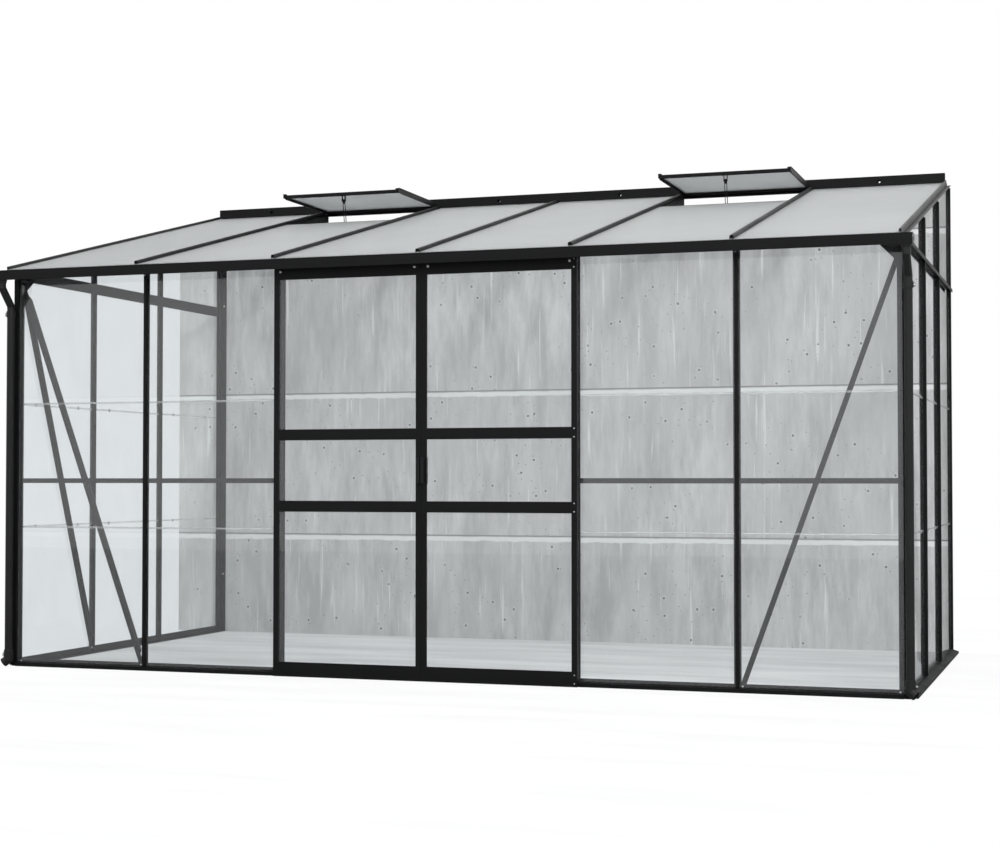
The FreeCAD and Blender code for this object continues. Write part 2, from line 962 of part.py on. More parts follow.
def many_sided(sides, radius, point, normal, height):
    # A plain fastener: six sides for a nut, more for a round head
    wire = Part.makePolygon([
        point + around(normal, n * 360.0 / sides) * radius for n in range(sides)
    ] + [point + around(normal, 0) * radius])
    return Part.Face(wire).extrude(normal * height)


def around(normal, degrees):
    across = axis_y if abs(normal.y) < 0.5 else axis_x
    up = normal.cross(across)
    angle = math.radians(degrees)
    return across * math.cos(angle) + up * math.sin(angle)


def frame_nuts():
    # A nut on each brace end, and one where each gusset and mid rail meets a post
    nuts = []
    crest = gusset_t + brace_t + brace_rib
    for corner, direction, normal, foot in brace_frames():
        top = corner + direction * brace_corner + axis_z * brace_top + normal * crest
        low = corner + direction * foot + axis_z * brace_foot_z + normal * crest
        for point in (top, low):
            nuts.append(many_sided(6, nut_r, point, normal, nut_h))
        seat = corner + direction * (gusset_reach - 12) + axis_z * (brace_top + 47)
        nuts.append(many_sided(6, nut_r - 1, seat + normal * gusset_t, normal, nut_h))
    inset = post_flange + nut_r + 2
    for side in (-1, 1):
        point = Vector(corner_x(side, -inset), glass + mid_rail_t, mid_rail_z + mid_rail_h / 2)
        nuts.append(many_sided(6, mid_rail_lip - 2.5, point, axis_y, nut_h))
    return nuts


def face_heads():
    # Small heads on the caps of the outer bars, just under the gutter
    heads = []
    for side in (-1, 1):
        start = Vector(side * 2 * bay_width, -cap_h, front_glass_top - 27)
        heads.append(many_sided(12, screw_r + 0.6, start, -axis_y, screw_h + 0.4))
    return heads


# Downpipes
def mitred_tube(points, radius):
    # Straight lengths of one radius, each cut on the plane that halves its bend
    ways = []
    for a, b in zip(points[:-1], points[1:]):
        way = b - a
        way.normalize()
        ways.append(way)
    solid = None
    past = 2 * radius
    for n, way in enumerate(ways):
        a = points[n] - way * (past if n else 0)
        b = points[n + 1] + way * (past if n + 1 < len(ways) else 0)
        piece = rod(radius, a, way, (b - a).Length)
        if n:
            piece = piece.cut(rod(2 * past, points[n], -(ways[n - 1] + way), 2 * past))
        if n + 1 < len(ways):
            piece = piece.cut(rod(2 * past, points[n + 1], way + ways[n + 1], 2 * past))
        solid = piece if solid is None else solid.fuse(piece)
    return solid


def downpipe(side):
    # The neck leans forward from the upright pipe to the gutter outlet
    x = corner_x(side, pipe_side)
    outlet = gutter_floor - funnel_h
    stub = pipe_r + 2
    points = [
        Vector(x, -pipe_front, shoe_top - shoe_low),
        Vector(x, -pipe_front, neck_low + stub),
        Vector(x, -neck_front, outlet - stub),
        Vector(x, -neck_front, outlet),
    ]
    inner = pipe_r - pipe_wall
    bore = [points[0] - axis_z, points[1], points[2], points[3] + axis_z]
    pipe = mitred_tube(points, pipe_r).cut(mitred_tube(bore, inner))
    # The flared mouth meets the sloping underside of the trough
    rim = funnel_h + gutter_fall
    flare = [(inner, 0), (pipe_r, 0), (pipe_r + funnel_out, funnel_h), (pipe_r + funnel_out, rim),
             (inner + funnel_out, rim), (inner + funnel_out, funnel_h)]
    ring = [points[-1] + axis_x * p[0] + axis_z * p[1] for p in flare]
    funnel = Part.Face(Part.makePolygon(ring + [ring[0]])).revolve(points[-1], axis_z, 360)
    wide = 3 * pipe_r
    y0 = -neck_front - wide
    y1 = -neck_front + wide
    trough = section([(y0, floor_under(y0)), (y1, floor_under(y1)), (y1, gutter_top), (y0, gutter_top)],
                     Vector(x - wide, 0, 0), axis_y, axis_z, axis_x * (2 * wide))
    return pipe.fuse(funnel.cut(trough))


def pipe_collar(side):
    x = corner_x(side, pipe_side)
    inner = pipe_r + pipe_fit
    outer = inner + collar_t
    centre = Vector(x, -pipe_front, neck_low - collar_drop - collar_h)
    collar = rod(outer, centre, axis_z, collar_h)
    ear = box(x + side * (outer - 2), x + side * (outer + 7), -pipe_front - 4, -pipe_front + 4,
              centre.z + 5, centre.z + 17)
    back = box(x - 7, x + 7, -pipe_front + outer - 3, -post_out, centre.z + 4, centre.z + 18)
    return collar.fuse(ear).fuse(back).cut(rod(inner, centre - axis_z, axis_z, collar_h + 2))


def pipe_shoe(side):
    # The spout turns outward and stops at the ground
    x = corner_x(side, pipe_side)
    inner = pipe_r + pipe_fit
    outer = inner + collar_t
    top = Vector(x, -pipe_front, shoe_top)
    low = Vector(x, -pipe_front, shoe_low)
    turn = Vector(side * 0.8, -0.25, -0.6)
    turn.normalize()
    shoe = mitred_tube([top, low, low + turn * 26], outer)
    shoe = shoe.cut(mitred_tube([top + axis_z, low, low + turn * 40], inner))
    wide = outer * 4
    return shoe.cut(box(x - wide, x + wide, -pipe_front - wide, -pipe_front + wide, -wide, 1))


def pipe_fittings(side):
    return [pipe_collar(side), pipe_shoe(side)]


# Vent transoms with the peg that holds the stay
def transom_peg_point(bay):
    # The peg sits inside, square below the place where the stay's pin lies when shut
    x = (bay + 0.5) * bay_width
    return hinge_closed_point(x, vent_length - stay_back, -vent_low - pin_drop - peg_drop)


def hinge_closed_point(x, reach, rise):
    # A vent point in the shut pose: reach down the slope, rise over the glass
    base = Vector(x, hinge_back, hinge_z) - roof_up * hinge_rise()
    return base - roof_run * reach + roof_up * rise


def hinge_rise():
    return (hinge_z - roof_z - tan_r * hinge_back) * cos_r


def transom(bay):
    x0 = bay * bay_width + flange_half
    x1 = (bay + 1) * bay_width - flange_half
    t0 = bay * bay_width + channel_half
    t1 = (bay + 1) * bay_width - channel_half
    start = roof_point(0, transom_y())
    profile = [
        (-18, -glass),
        (0, -glass),
        (0, 0.5),
        (2, 0.5),
        (2, -bar_depth - 6),
        (0, -bar_depth - 6),
        (0, -glass - wall_t),
        (-18, -glass - wall_t),
    ]
    mid = 0.5 * (x0 + x1)
    body = section(profile, start + axis_x * x0, roof_run, roof_up, axis_x * (x1 - x0))
    lug = [(0, -glass - wall_t), (2, -glass - wall_t), (2, -bar_depth), (0, -bar_depth)]
    ends = section(lug, start + axis_x * t0, roof_run, roof_up, axis_x * (t1 - t0))
    # A tab below the web carries the peg, which points up the slope through the stay
    peg_at = transom_peg_point(bay)
    drop = (peg_at - start).dot(roof_up)
    reach = (peg_at - start).dot(roof_run)
    low = drop - peg_r - 3
    tab = [(0, -bar_depth), (wall_t, -bar_depth), (wall_t, low), (0, low)]
    holder = section(tab, start + axis_x * (mid - stay_half_w), roof_run, roof_up,
                     axis_x * (2 * stay_half_w))
    foot = start + axis_x * mid + roof_up * drop + roof_run * (wall_t / 2)
    peg = rod(peg_r, foot, roof_run, reach + peg_past)
    return body.fuse(ends).fuse(holder).fuse(peg).removeSplitter()


# Vents, drawn shut on the roof and turned up to the resting angle
def raise_vent(shape):
    lifted = shape.copy()
    lifted.rotate(hinge, axis_x, -open_angle)
    return lifted


def vent_frame(bay):
    mid = (bay + 0.5) * bay_width
    half = vent_width / 2
    down = -roof_run
    pieces = []
    top_reach = 10.0
    slot_low = vent_glass_low
    slot_high = vent_glass_low + glass
    clear = vent_length - vent_lap - 4
    side_bar = [
        (0, -vent_low), (2, -vent_low), (2, slot_low - 2), (vent_lip, slot_low - 2),
        (vent_lip, slot_low), (10, slot_low),
        (10, slot_high), (vent_frame_w, slot_high), (vent_frame_w, vent_high), (0, vent_high),
    ]
    for side in (-1, 1):
        start = hinge_closed_point(mid + side * half, top_reach, 0)
        bar = section(side_bar, start, axis_x * -side, roof_up, down * (vent_length - 4 - top_reach))
        # Over the transom and the lower pane the bar is cut away underneath
        low = -vent_low - 1
        relief = [(-1, low), (vent_frame_w + 1, low), (vent_frame_w + 1, vent_lift), (-1, vent_lift)]
        bar = bar.cut(section(relief, start + down * (clear - top_reach), axis_x * -side, roof_up,
                              down * vent_frame_w))
        pieces.append(bar)
    start = hinge_closed_point(mid - half + vent_frame_w, top_reach, 0)
    width = axis_x * (vent_width - 2 * vent_frame_w)
    pieces.append(section(side_bar, start, down, roof_up, width))
    return pieces[0].fuse(pieces[1]).fuse(pieces[2]).removeSplitter()


def vent_front_rail(bay):
    # The front rail reaches over the lower pane and drops a drip edge in front of it
    mid = (bay + 0.5) * bay_width
    half = vent_width / 2
    slot_low = vent_glass_low
    slot_high = vent_glass_low + glass
    rail = [
        (-4, slot_low - 2), (-4, slot_low), (-1, slot_low), (-1, slot_high), (-4, slot_high),
        (-4, vent_high), (14, vent_high), (16, vent_high - 2), (16, 2), (14, 2), (14, slot_low - 4),
        (2, slot_low - 4), (2, vent_lift), (0, vent_lift), (0, slot_low - 2),
    ]
    start = hinge_closed_point(mid - half, vent_length, 0)
    return section(rail, start, -roof_run, roof_up, axis_x * vent_width)


def vent_hinge_bar(bay):
    # A round bead on a neck turns in the wall plate's hook
    mid = (bay + 0.5) * bay_width
    width = vent_width - 8
    start = Vector(mid - width / 2, hinge_back, hinge_z)
    bead = rod(bead_r, start, axis_x, width)
    neck = section([(0, -neck_t / 2), (10, -neck_t / 2), (10, neck_t / 2), (0, neck_t / 2)], start,
                   -roof_run, roof_up, axis_x * width)
    return bead.fuse(neck).removeSplitter()


def vent_pane(bay):
    mid = (bay + 0.5) * bay_width
    half = vent_width / 2 - 10
    low = vent_glass_low + pane_fit
    high = vent_glass_low + glass
    outline = [(-half, low), (half, low), (half, high), (-half, high)]
    start = hinge_closed_point(mid, 20, 0)
    return section(outline, start, axis_x, roof_up, -roof_run * (vent_length - 1.5 - 20))


def vent_hook(bay):
    mid = (bay + 0.5) * bay_width
    width = vent_width - 4
    start = Vector(mid - width / 2, hinge_back, hinge_z)
    ring = rod(hook_out, start, axis_x, width)
    back = wall_y - hood_reach - hinge_back
    low = 1.5 - hook_out
    high = hook_out - 1.5
    outline = [(0, low), (back, low), (back, 13), (back - beam_t, 13), (back - beam_t, high), (0, high)]
    foot = section(outline, start, axis_y, axis_z, axis_x * width)
    hook = ring.fuse(foot).cut(rod(hook_in, start - axis_x, axis_x, width + 2))
    low = math.radians(-38)
    high = math.radians(45)
    far = 20.0
    mouth = section([(0, 0), (far * math.cos(low), far * math.sin(low)),
                     (far * math.cos(high), far * math.sin(high))], start - axis_x, -axis_y, axis_z,
                    axis_x * (width + 2))
    return hook.cut(mouth).removeSplitter()


def stay(bay):
    # A slotted flat bar hangs from a pin under the front rail and runs over the peg
    mid = (bay + 0.5) * bay_width
    pivot = stay_pivot(bay)
    slot_start = peg_drop - peg_r - 3
    start = Vector(mid, pivot.y - stay_t / 2, pivot.z)
    outline = [(-stay_half_w, -stay_len), (stay_half_w, -stay_len), (stay_half_w, 0), (-stay_half_w, 0)]
    half = stay_slot / 2
    slot = [(-half, -stay_len + 8), (half, -stay_len + 8), (half, -slot_start), (-half, -slot_start)]
    plate = section(outline, start, axis_x, axis_z, axis_y * stay_t, slot)
    side = Vector(mid - stay_half_w, pivot.y, pivot.z)
    eye = rod(stay_eye_r, side, axis_x, 2 * stay_half_w)
    bore = rod(bolt_r + axle_fit, side - axis_x, axis_x, 2 * stay_half_w + 2)
    turned = plate.fuse(eye).cut(bore)
    turned.rotate(pivot, axis_x, stay_rest_angle(bay))
    return turned


def stay_pivot(bay):
    mid = (bay + 0.5) * bay_width
    point = hinge_closed_point(mid, vent_length - stay_back, -vent_low - pin_drop)
    mark = Part.Vertex(point)
    return raise_vent(mark).Point


def stay_rest_angle(bay):
    # The stay points from its pin to the peg
    line = transom_peg_point(bay) - stay_pivot(bay)
    return math.degrees(math.atan2(line.y, -line.z))


def stay_bracket(bay):
    # A forked lug under the front rail with the stay's pin
    mid = (bay + 0.5) * bay_width
    pivot = hinge_closed_point(mid, vent_length - stay_back, -vent_low - pin_drop)
    start = hinge_closed_point(mid, vent_length - stay_back, 0)
    pieces = []
    gap = stay_half_w + lug_fit
    top = vent_glass_low - 2
    for side in (-1, 1):
        low = -vent_low - pin_drop - 6
        outline = [(-7, low), (7, low), (7, 2.5), (stay_back, 2.5), (stay_back, top), (-7, top)]
        lug = section(outline, start + axis_x * (side * gap), -roof_run, roof_up, axis_x * (side * lug_t))
        pieces.append(lug)
    half = gap + lug_t + pin_over
    pin = rod(bolt_r, pivot - axis_x * half, axis_x, 2 * half)
    return pieces[0].fuse(pieces[1]).fuse(pin).removeSplitter()


# Doors
def leaf_x(side, inward):
    # inward counts from the leaf's edge at the meeting line
    return side * (leaf_gap + inward)


def stile_outline():
    g0 = leaf_glass_front
    g1 = leaf_glass_front - glass
    return [
        (0, leaf_front), (stile_w, leaf_front), (stile_w, g0), (stile_box, g0), (stile_box, g1),
        (stile_w, g1), (stile_w, g1 - leaf_lip), (stile_box, g1 - leaf_lip), (stile_box, leaf_back),
        (0, leaf_back),
    ]


def stile_hole():
    return [
        (wall_t, leaf_front - wall_t), (stile_box - wall_t, leaf_front - wall_t),
        (stile_box - wall_t, leaf_back + wall_t), (wall_t, leaf_back + wall_t),
    ]


def door_stiles(side):
    stiles = []
    width = leaf_w - leaf_gap
    run = axis_z * (leaf_top - leaf_low)
    for at, turn in ((0, 1), (width, -1)):
        start = Vector(leaf_x(side, at), 0, leaf_low)
        stiles.append(section(stile_outline(), start, axis_x * (side * turn), -axis_y, run, stile_hole()))
    return stiles


def rail_outline(height, below, above):
    # Listed as distance outward and height
    g0 = leaf_glass_front
    g1 = leaf_glass_front - glass
    back = leaf_back
    low = groove if below else 0
    high = height - groove if above else height
    points = [(leaf_front, 0), (leaf_front, height)]
    if above:
        points += [(g0, height), (g0, high), (g1, high), (g1, height), (g1 - leaf_lip, height),
                   (g1 - leaf_lip, high), (back, high)]
    else:
        points += [(back, height)]
    if below:
        points += [(back, low), (g1 - leaf_lip, low), (g1 - leaf_lip, 0), (g1, 0), (g1, low), (g0, low),
                   (g0, 0)]
    else:
        points += [(back, 0)]
    return points


def rail_hole(height, below, above):
    low = (groove if below else 0) + wall_t
    high = height - (groove if above else 0) - wall_t
    return [
        (leaf_front - wall_t, low), (leaf_front - wall_t, high), (leaf_back + wall_t, high),
        (leaf_back + wall_t, low),
    ]


def leaf_rails():
    # Base height, height, groove below, groove above
    rows = [(leaf_low, bottom_rail_h, False, True)]
    for z in mid_rails:
        rows.append((z, leaf_mid_h, True, True))
    rows.append((leaf_top - top_rail_h, top_rail_h, True, False))
    return rows


def hanger_places():
    width = leaf_w - leaf_gap
    return (hanger_inset, width - hanger_inset)


def hanger_bolt_z():
    return leaf_top - hanger_bolt_drop


def guide_slot():
    return (leaf_low + guide_low, leaf_low + guide_low + guide_h)


def door_rails(side):
    rails = []
    width = leaf_w - leaf_gap - 2 * stile_w
    for z, height, below, above in leaf_rails():
        start = Vector(leaf_x(side, stile_w), 0, z)
        rail = section(rail_outline(height, below, above), start, -axis_y, axis_z,
                       axis_x * (side * width), rail_hole(height, below, above))
        if z == leaf_low:
            a, b = guide_slot()
            rail = rail.cut(box(leaf_x(side, stile_w - 1), leaf_x(side, stile_w + width + 1),
                                -leaf_back - wall_t - 1, -leaf_back + 1, a, b))
        rails.append(rail)
    return rails


def door_glass(side):
    panes = []
    rows = leaf_rails()
    x0 = leaf_x(side, stile_w - glass_in)
    x1 = leaf_x(side, leaf_w - leaf_gap - stile_w + glass_in)
    for low, high in zip(rows[:-1], rows[1:]):
        z0 = low[0] + low[1] - glass_in
        z1 = high[0] + glass_in
        panes.append(box(x0, x1, -leaf_glass_front, -leaf_glass_front + glass, z0, z1))
    return panes


def door_handles(side):
    # A pull block with a finger recess outside and a flatter one inside
    low = handle_low
    high = handle_low + handle_h
    pulls = []
    for back, reach in ((-leaf_front, -handle_out), (-leaf_back, handle_back)):
        block = box(leaf_x(side, 1), leaf_x(side, 15), back, back + reach, low, high)
        edges = [e for e in block.Edges if abs(e.BoundBox.YMin - back - reach) < 0.01
                 and abs(e.BoundBox.YMax - back - reach) < 0.01]
        block = block.makeFillet(2.5, edges)
        scoop = box(leaf_x(side, 5), leaf_x(side, 16), back + reach * 0.2, back + reach * 0.75,
                    low + 10, high - 10)
        pulls.append(block.cut(scoop))
    return pulls


def axle_z():
    return track_z + beam_t + bead_h + wheel_groove_r + wheel_rest


def hanger(side, place):
    # Flat plate on the back of the top rail with the wheel's axle and hexagon spacer
    x = leaf_x(side, place)
    plate = box(x - hanger_w / 2, x + hanger_w / 2, -leaf_back, -leaf_back + hanger_t,
                leaf_top - hanger_below, axle_z() + hanger_above)
    tip = -track_mid - wheel_w / 2 - 1.5
    near = track_mid - wheel_w / 2 - 0.3
    axle = rod(axle_r, Vector(x, tip, axle_z()), axis_y, -leaf_back - tip)
    head = many_sided(6, axle_r + 2, Vector(x, tip, axle_z()), -axis_y, 1.5)
    spacer = many_sided(6, axle_r + 2, Vector(x, -leaf_back, axle_z()), -axis_y, near - leaf_back)
    return plate.fuse(axle).fuse(head).fuse(spacer).removeSplitter()


def hanger_bolt(side, place):
    # Round head on the leaf's face, nut on the back of the hanger plate
    x = leaf_x(side, place)
    head = many_sided(16, head_r, Vector(x, -leaf_front, hanger_bolt_z()), -axis_y, head_h)
    nut = many_sided(6, nut_r, Vector(x, hanger_t - leaf_back, hanger_bolt_z()), axis_y, nut_h)
    return [head, nut]


def stile_screws(side):
    # Pairs of heads where each rail meets the outer stile
    heads = []
    middle = leaf_w - leaf_gap - stile_w / 2
    for low, height, below, above in leaf_rails():
        edge = height / 2 - min(height, leaf_mid_h) / 2 + 6
        for z in (low + edge, low + height - edge):
            if side > 0:
                start = Vector(leaf_x(side, middle), -leaf_front, z)
                heads.append(many_sided(12, screw_r, start, -axis_y, screw_h))
            else:
                start = Vector(leaf_x(side, leaf_w - leaf_gap), -(leaf_front + leaf_back) / 2, z)
                heads.append(many_sided(12, screw_r, start, axis_x * side, screw_h))
    return heads


def roller(side, place):
    x = leaf_x(side, place)
    start = Vector(x, -track_mid - wheel_w / 2, axle_z())
    wheel = rod(wheel_r, start, axis_y, wheel_w)
    slot_w = bead_w + 2
    mid_cut = Vector(x, -track_mid - slot_w / 2, axle_z())
    cut = rod(wheel_r + 1, mid_cut, axis_y, slot_w).cut(rod(wheel_groove_r, mid_cut, axis_y, slot_w))
    bore = rod(axle_r + axle_fit, start - axis_y, axis_y, wheel_w + 2)
    return wheel.cut(cut).cut(bore)


def door_guides():
    # A captive tee on the sill runs in the slot of each bottom rail
    a, b = guide_slot()
    guides = []
    for side in (-1, 1):
        x0 = side * (bay_width - 32)
        x1 = side * (bay_width - 14)
        foot = box(x0, x1, -front_ledge - 1.5, -front_ledge, 3, front_lip)
        tongue = box(x0, x1, -leaf_back - 7, -front_ledge, a + 1, a + 1 + 4)
        head = box(x0, x1, -leaf_back - 7, -leaf_back - 3.5, a - 3, b + 3)
        guides.append(foot.fuse(tongue).fuse(head).removeSplitter())
    return guides


def export_all():
    names = {-1: "left", 1: "right"}
    vents = {-2: "left", 1: "right"}
    save("front_sill", front_sill())
    save("front_bars", front_bars())
    save("front_bar_caps", front_caps())
    save("front_glass", front_glass())
    save("mid_rails", mid_rail_set())
    save("pane_strips", pane_strips())
    save("end_bars", end_bars())
    save("end_bar_caps", end_caps())
    save("gable_bars", [gable_bar(side) for side in names])
    save("wall_posts", [wall_post(side) for side in names])
    save("eave_gutter", eave_gutter())
    save("gutter_ends", gutter_ends())
    save("roof_bars", roof_bars())
    save("roof_bar_caps", roof_caps())
    save("roof_glass", roof_glass())
    save("wall_plate", wall_plate())
    save("wall_braces", wall_braces())
    save("corner_gussets", corner_gussets())
    save("frame_bolts", frame_nuts() + face_heads())
    save("door_guides", door_guides())
    save("vent_transoms", [transom(bay) for bay in vents])
    for side, name in names.items():
        save(name + "_end_sill", end_sill(side))
        save(name + "_corner_post", corner_post(side))
        save(name + "_end_rail", end_rail(side))
        save(name + "_end_glass", end_glass(side))
        save(name + "_downpipe", downpipe(side))
        save(name + "_pipe_fittings", pipe_fittings(side))
        save(name + "_door_stiles", door_stiles(side))
        save(name + "_door_rails", door_rails(side))
        save(name + "_door_glass", door_glass(side))
        save(name + "_door_handles", door_handles(side))
        places = hanger_places()
        save(name + "_door_hangers", [hanger(side, p) for p in places])
        bolts = hanger_bolt(side, places[0]) + hanger_bolt(side, places[1])
        save(name + "_door_screws", bolts + stile_screws(side))
        save(name + "_inner_roller", roller(side, places[0]))
        save(name + "_outer_roller", roller(side, places[1]))
    for bay, name in vents.items():
        save(name + "_vent_hook", vent_hook(bay))
        save(name + "_vent_frame", [raise_vent(vent_frame(bay)), raise_vent(vent_hinge_bar(bay))])
        save(name + "_vent_front_rail", [raise_vent(vent_front_rail(bay)), raise_vent(stay_bracket(bay))])
        save(name + "_vent_glass", raise_vent(vent_pane(bay)))
        save(name + "_vent_stay", stay(bay))


export_all()
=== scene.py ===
import bpy
import json
import math
from mathutils import Matrix, Vector


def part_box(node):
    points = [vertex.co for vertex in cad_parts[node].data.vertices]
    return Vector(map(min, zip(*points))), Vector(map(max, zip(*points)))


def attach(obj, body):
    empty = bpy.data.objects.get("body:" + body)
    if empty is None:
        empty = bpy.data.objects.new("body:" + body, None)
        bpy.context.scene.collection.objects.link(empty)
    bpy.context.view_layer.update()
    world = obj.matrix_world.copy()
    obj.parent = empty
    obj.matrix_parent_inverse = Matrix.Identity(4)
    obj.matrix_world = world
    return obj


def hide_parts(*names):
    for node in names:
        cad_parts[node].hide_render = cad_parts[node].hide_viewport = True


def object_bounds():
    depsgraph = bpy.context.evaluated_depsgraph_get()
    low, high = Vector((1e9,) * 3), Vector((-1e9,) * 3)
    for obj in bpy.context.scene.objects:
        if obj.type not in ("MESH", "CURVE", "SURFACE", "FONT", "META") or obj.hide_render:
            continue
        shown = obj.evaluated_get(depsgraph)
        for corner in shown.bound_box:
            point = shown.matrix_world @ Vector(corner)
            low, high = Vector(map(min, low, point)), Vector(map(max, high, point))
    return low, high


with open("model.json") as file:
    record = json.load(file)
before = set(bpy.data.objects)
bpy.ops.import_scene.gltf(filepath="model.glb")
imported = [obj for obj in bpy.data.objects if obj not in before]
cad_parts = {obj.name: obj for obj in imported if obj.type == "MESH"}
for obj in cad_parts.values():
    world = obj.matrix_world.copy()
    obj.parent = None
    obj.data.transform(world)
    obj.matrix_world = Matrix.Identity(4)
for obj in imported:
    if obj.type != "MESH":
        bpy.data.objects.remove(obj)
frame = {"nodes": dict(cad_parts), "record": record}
nodes = frame["nodes"]
lowCorner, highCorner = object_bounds()
scene = bpy.context.scene
scene.view_settings.view_transform = "Standard"
print("frame loaded with", len(nodes), "nodes")


# Camera
cameraSet = {
    "place": (2.568, -7.6086, 0.791),
    "turn": 18.523,      # degrees to the left of straight ahead
    "pitch": 1.592,      # degrees above level
    "lens": 65.67,
    "sensor": 36,
    "farthest": 200,
}


def makeCamera(values):
    data = bpy.data.cameras.new("camera")
    data.sensor_width = values["sensor"]
    data.lens = values["lens"]
    data.clip_end = values["farthest"]
    camera = bpy.data.objects.new("camera", data)
    scene.collection.objects.link(camera)
    camera.location = values["place"]
    camera.rotation_euler = (math.radians(90 + values["pitch"]), 0, math.radians(values["turn"]))
    scene.camera = camera


makeCamera(cameraSet)
print("camera set")


# Small helpers for shader nodes
def newMaterial(name):
    material = bpy.data.materials.new(name)
    material.use_nodes = True
    tree = material.node_tree
    for node in list(tree.nodes):
        tree.nodes.remove(node)
    output = tree.nodes.new("ShaderNodeOutputMaterial")
    output.location = (900, 0)
    shader = tree.nodes.new("ShaderNodeBsdfPrincipled")
    shader.location = (560, 0)
    tree.links.new(shader.outputs[0], output.inputs[0])
    return material, tree, shader, output


def addNode(tree, kind, x, y, **settings):
    node = tree.nodes.new(kind)
    node.location = (x, y)
    for key, value in settings.items():
        setattr(node, key, value)
    return node


def feed(tree, socket, value):
    # A socket takes a link or a plain value
    if isinstance(value, bpy.types.NodeSocket):
        tree.links.new(value, socket)
    else:
        socket.default_value = value


def newGroup(name, inputs, outputs):
    group = bpy.data.node_groups.new(name, "ShaderNodeTree")
    for label, kind, value in inputs:
        socket = group.interface.new_socket(name=label, in_out="INPUT", socket_type=kind)
        socket.default_value = value
    for label, kind in outputs:
        group.interface.new_socket(name=label, in_out="OUTPUT", socket_type=kind)
    start = group.nodes.new("NodeGroupInput")
    start.location = (-900, 0)
    end = group.nodes.new("NodeGroupOutput")
    end.location = (900, 0)
    return group, start, end


def placeGroup(tree, group, x, y, values):
    node = tree.nodes.new("ShaderNodeGroup")
    node.node_tree = group
    node.location = (x, y)
    for key, value in values.items():
        node.inputs[key].default_value = value
    return node


def mapRange(tree, source, low, high, toLow, toHigh, x, y):
    node = addNode(tree, "ShaderNodeMapRange", x, y)
    node.inputs["From Min"].default_value = low
    node.inputs["From Max"].default_value = high
    node.inputs["To Min"].default_value = toLow
    node.inputs["To Max"].default_value = toHigh
    tree.links.new(source, node.inputs["Value"])
    return node.outputs["Result"]


def mathNode(tree, operation, first, second, x, y):
    node = addNode(tree, "ShaderNodeMath", x, y, operation=operation)
    feed(tree, node.inputs[0], first)
    feed(tree, node.inputs[1], second)
    return node.outputs[0]


def mixColour(tree, factor, first, second, x, y):
    # Both colours are sockets or plain triples
    node = addNode(tree, "ShaderNodeMix", x, y, data_type="RGBA")
    feed(tree, node.inputs[0], factor)
    for slot, value in ((6, first), (7, second)):
        feed(tree, node.inputs[slot], value + (1,) if isinstance(value, tuple) else value)
    return node.outputs[2]


def objectPlace(tree, x, y):
    return addNode(tree, "ShaderNodeTexCoord", x, y).outputs["Object"]


def stretchPlace(tree, place, scale, x, y, turn=0.0):
    node = addNode(tree, "ShaderNodeMapping", x, y)
    node.inputs["Rotation"].default_value = (0, 0, math.radians(turn))
    node.inputs["Scale"].default_value = scale
    tree.links.new(place, node.inputs["Vector"])
    return node.outputs[0]


def noiseNode(tree, place, scale, detail, x, y, roughness=0.5):
    node = addNode(tree, "ShaderNodeTexNoise", x, y)
    node.inputs["Detail"].default_value = detail
    node.inputs["Roughness"].default_value = roughness
    tree.links.new(place, node.inputs["Vector"])
    feed(tree, node.inputs["Scale"], scale)
    return node.outputs["Fac"]


def addBump(tree, shader, height, distance, x=250, y=-250):
    bump = addNode(tree, "ShaderNodeBump", x, y)
    bump.inputs["Distance"].default_value = distance
    tree.links.new(height, bump.inputs["Height"])
    tree.links.new(bump.outputs[0], shader.inputs["Normal"])


def showMix(tree, output, factor, first, second):
    # The material shows the second shader where the factor is 1
    mix = addNode(tree, "ShaderNodeMixShader", 760, 0)
    tree.links.new(factor, mix.inputs[0])
    tree.links.new(first.outputs[0], mix.inputs[1])
    tree.links.new(second.outputs[0], mix.inputs[2])
    tree.links.new(mix.outputs[0], output.inputs[0])


# Effects that several finishes share
wearSet = {"samples": 4, "flat": 0.995, "sharp": 0.80, "detail": 4, "few": 0.42, "many": 0.68}
grainSet = {"fineDetail": 2, "broadDetail": 5, "broadRough": 0.6, "few": 0.3, "many": 0.7}
dustSet = {"steep": 0.2, "level": 0.95, "detail": 6, "few": 0.35, "many": 0.75, "least": 0.2}


def makeEdgeWear(look):
    # A mask that is bright on worn outer edges
    group, start, end = newGroup("edgeWear", [
        ("Radius", "NodeSocketFloat", 0.0012),
        ("Breakup", "NodeSocketFloat", 60.0),
        ("Amount", "NodeSocketFloat", 1.0),
    ], [("Mask", "NodeSocketFloat")])
    bevel = addNode(group, "ShaderNodeBevel", -700, 200, samples=look["samples"])
    group.links.new(start.outputs["Radius"], bevel.inputs["Radius"])
    geometry = addNode(group, "ShaderNodeNewGeometry", -700, 0)
    dot = addNode(group, "ShaderNodeVectorMath", -500, 100, operation="DOT_PRODUCT")
    group.links.new(bevel.outputs[0], dot.inputs[0])
    group.links.new(geometry.outputs["True Normal"], dot.inputs[1])
    edge = mapRange(group, dot.outputs["Value"], look["flat"], look["sharp"], 0.0, 1.0, -300, 100)
    place = objectPlace(group, -900, -250)
    noise = noiseNode(group, place, start.outputs["Breakup"], look["detail"], -700, -250)
    broken = mapRange(group, noise, look["few"], look["many"], 0.0, 1.0, -300, -250)
    mask = mathNode(group, "MULTIPLY", edge, broken, 0, 0)
    mask = mathNode(group, "MULTIPLY", mask, start.outputs["Amount"], 200, 0)
    group.links.new(mask, end.inputs["Mask"])
    return group


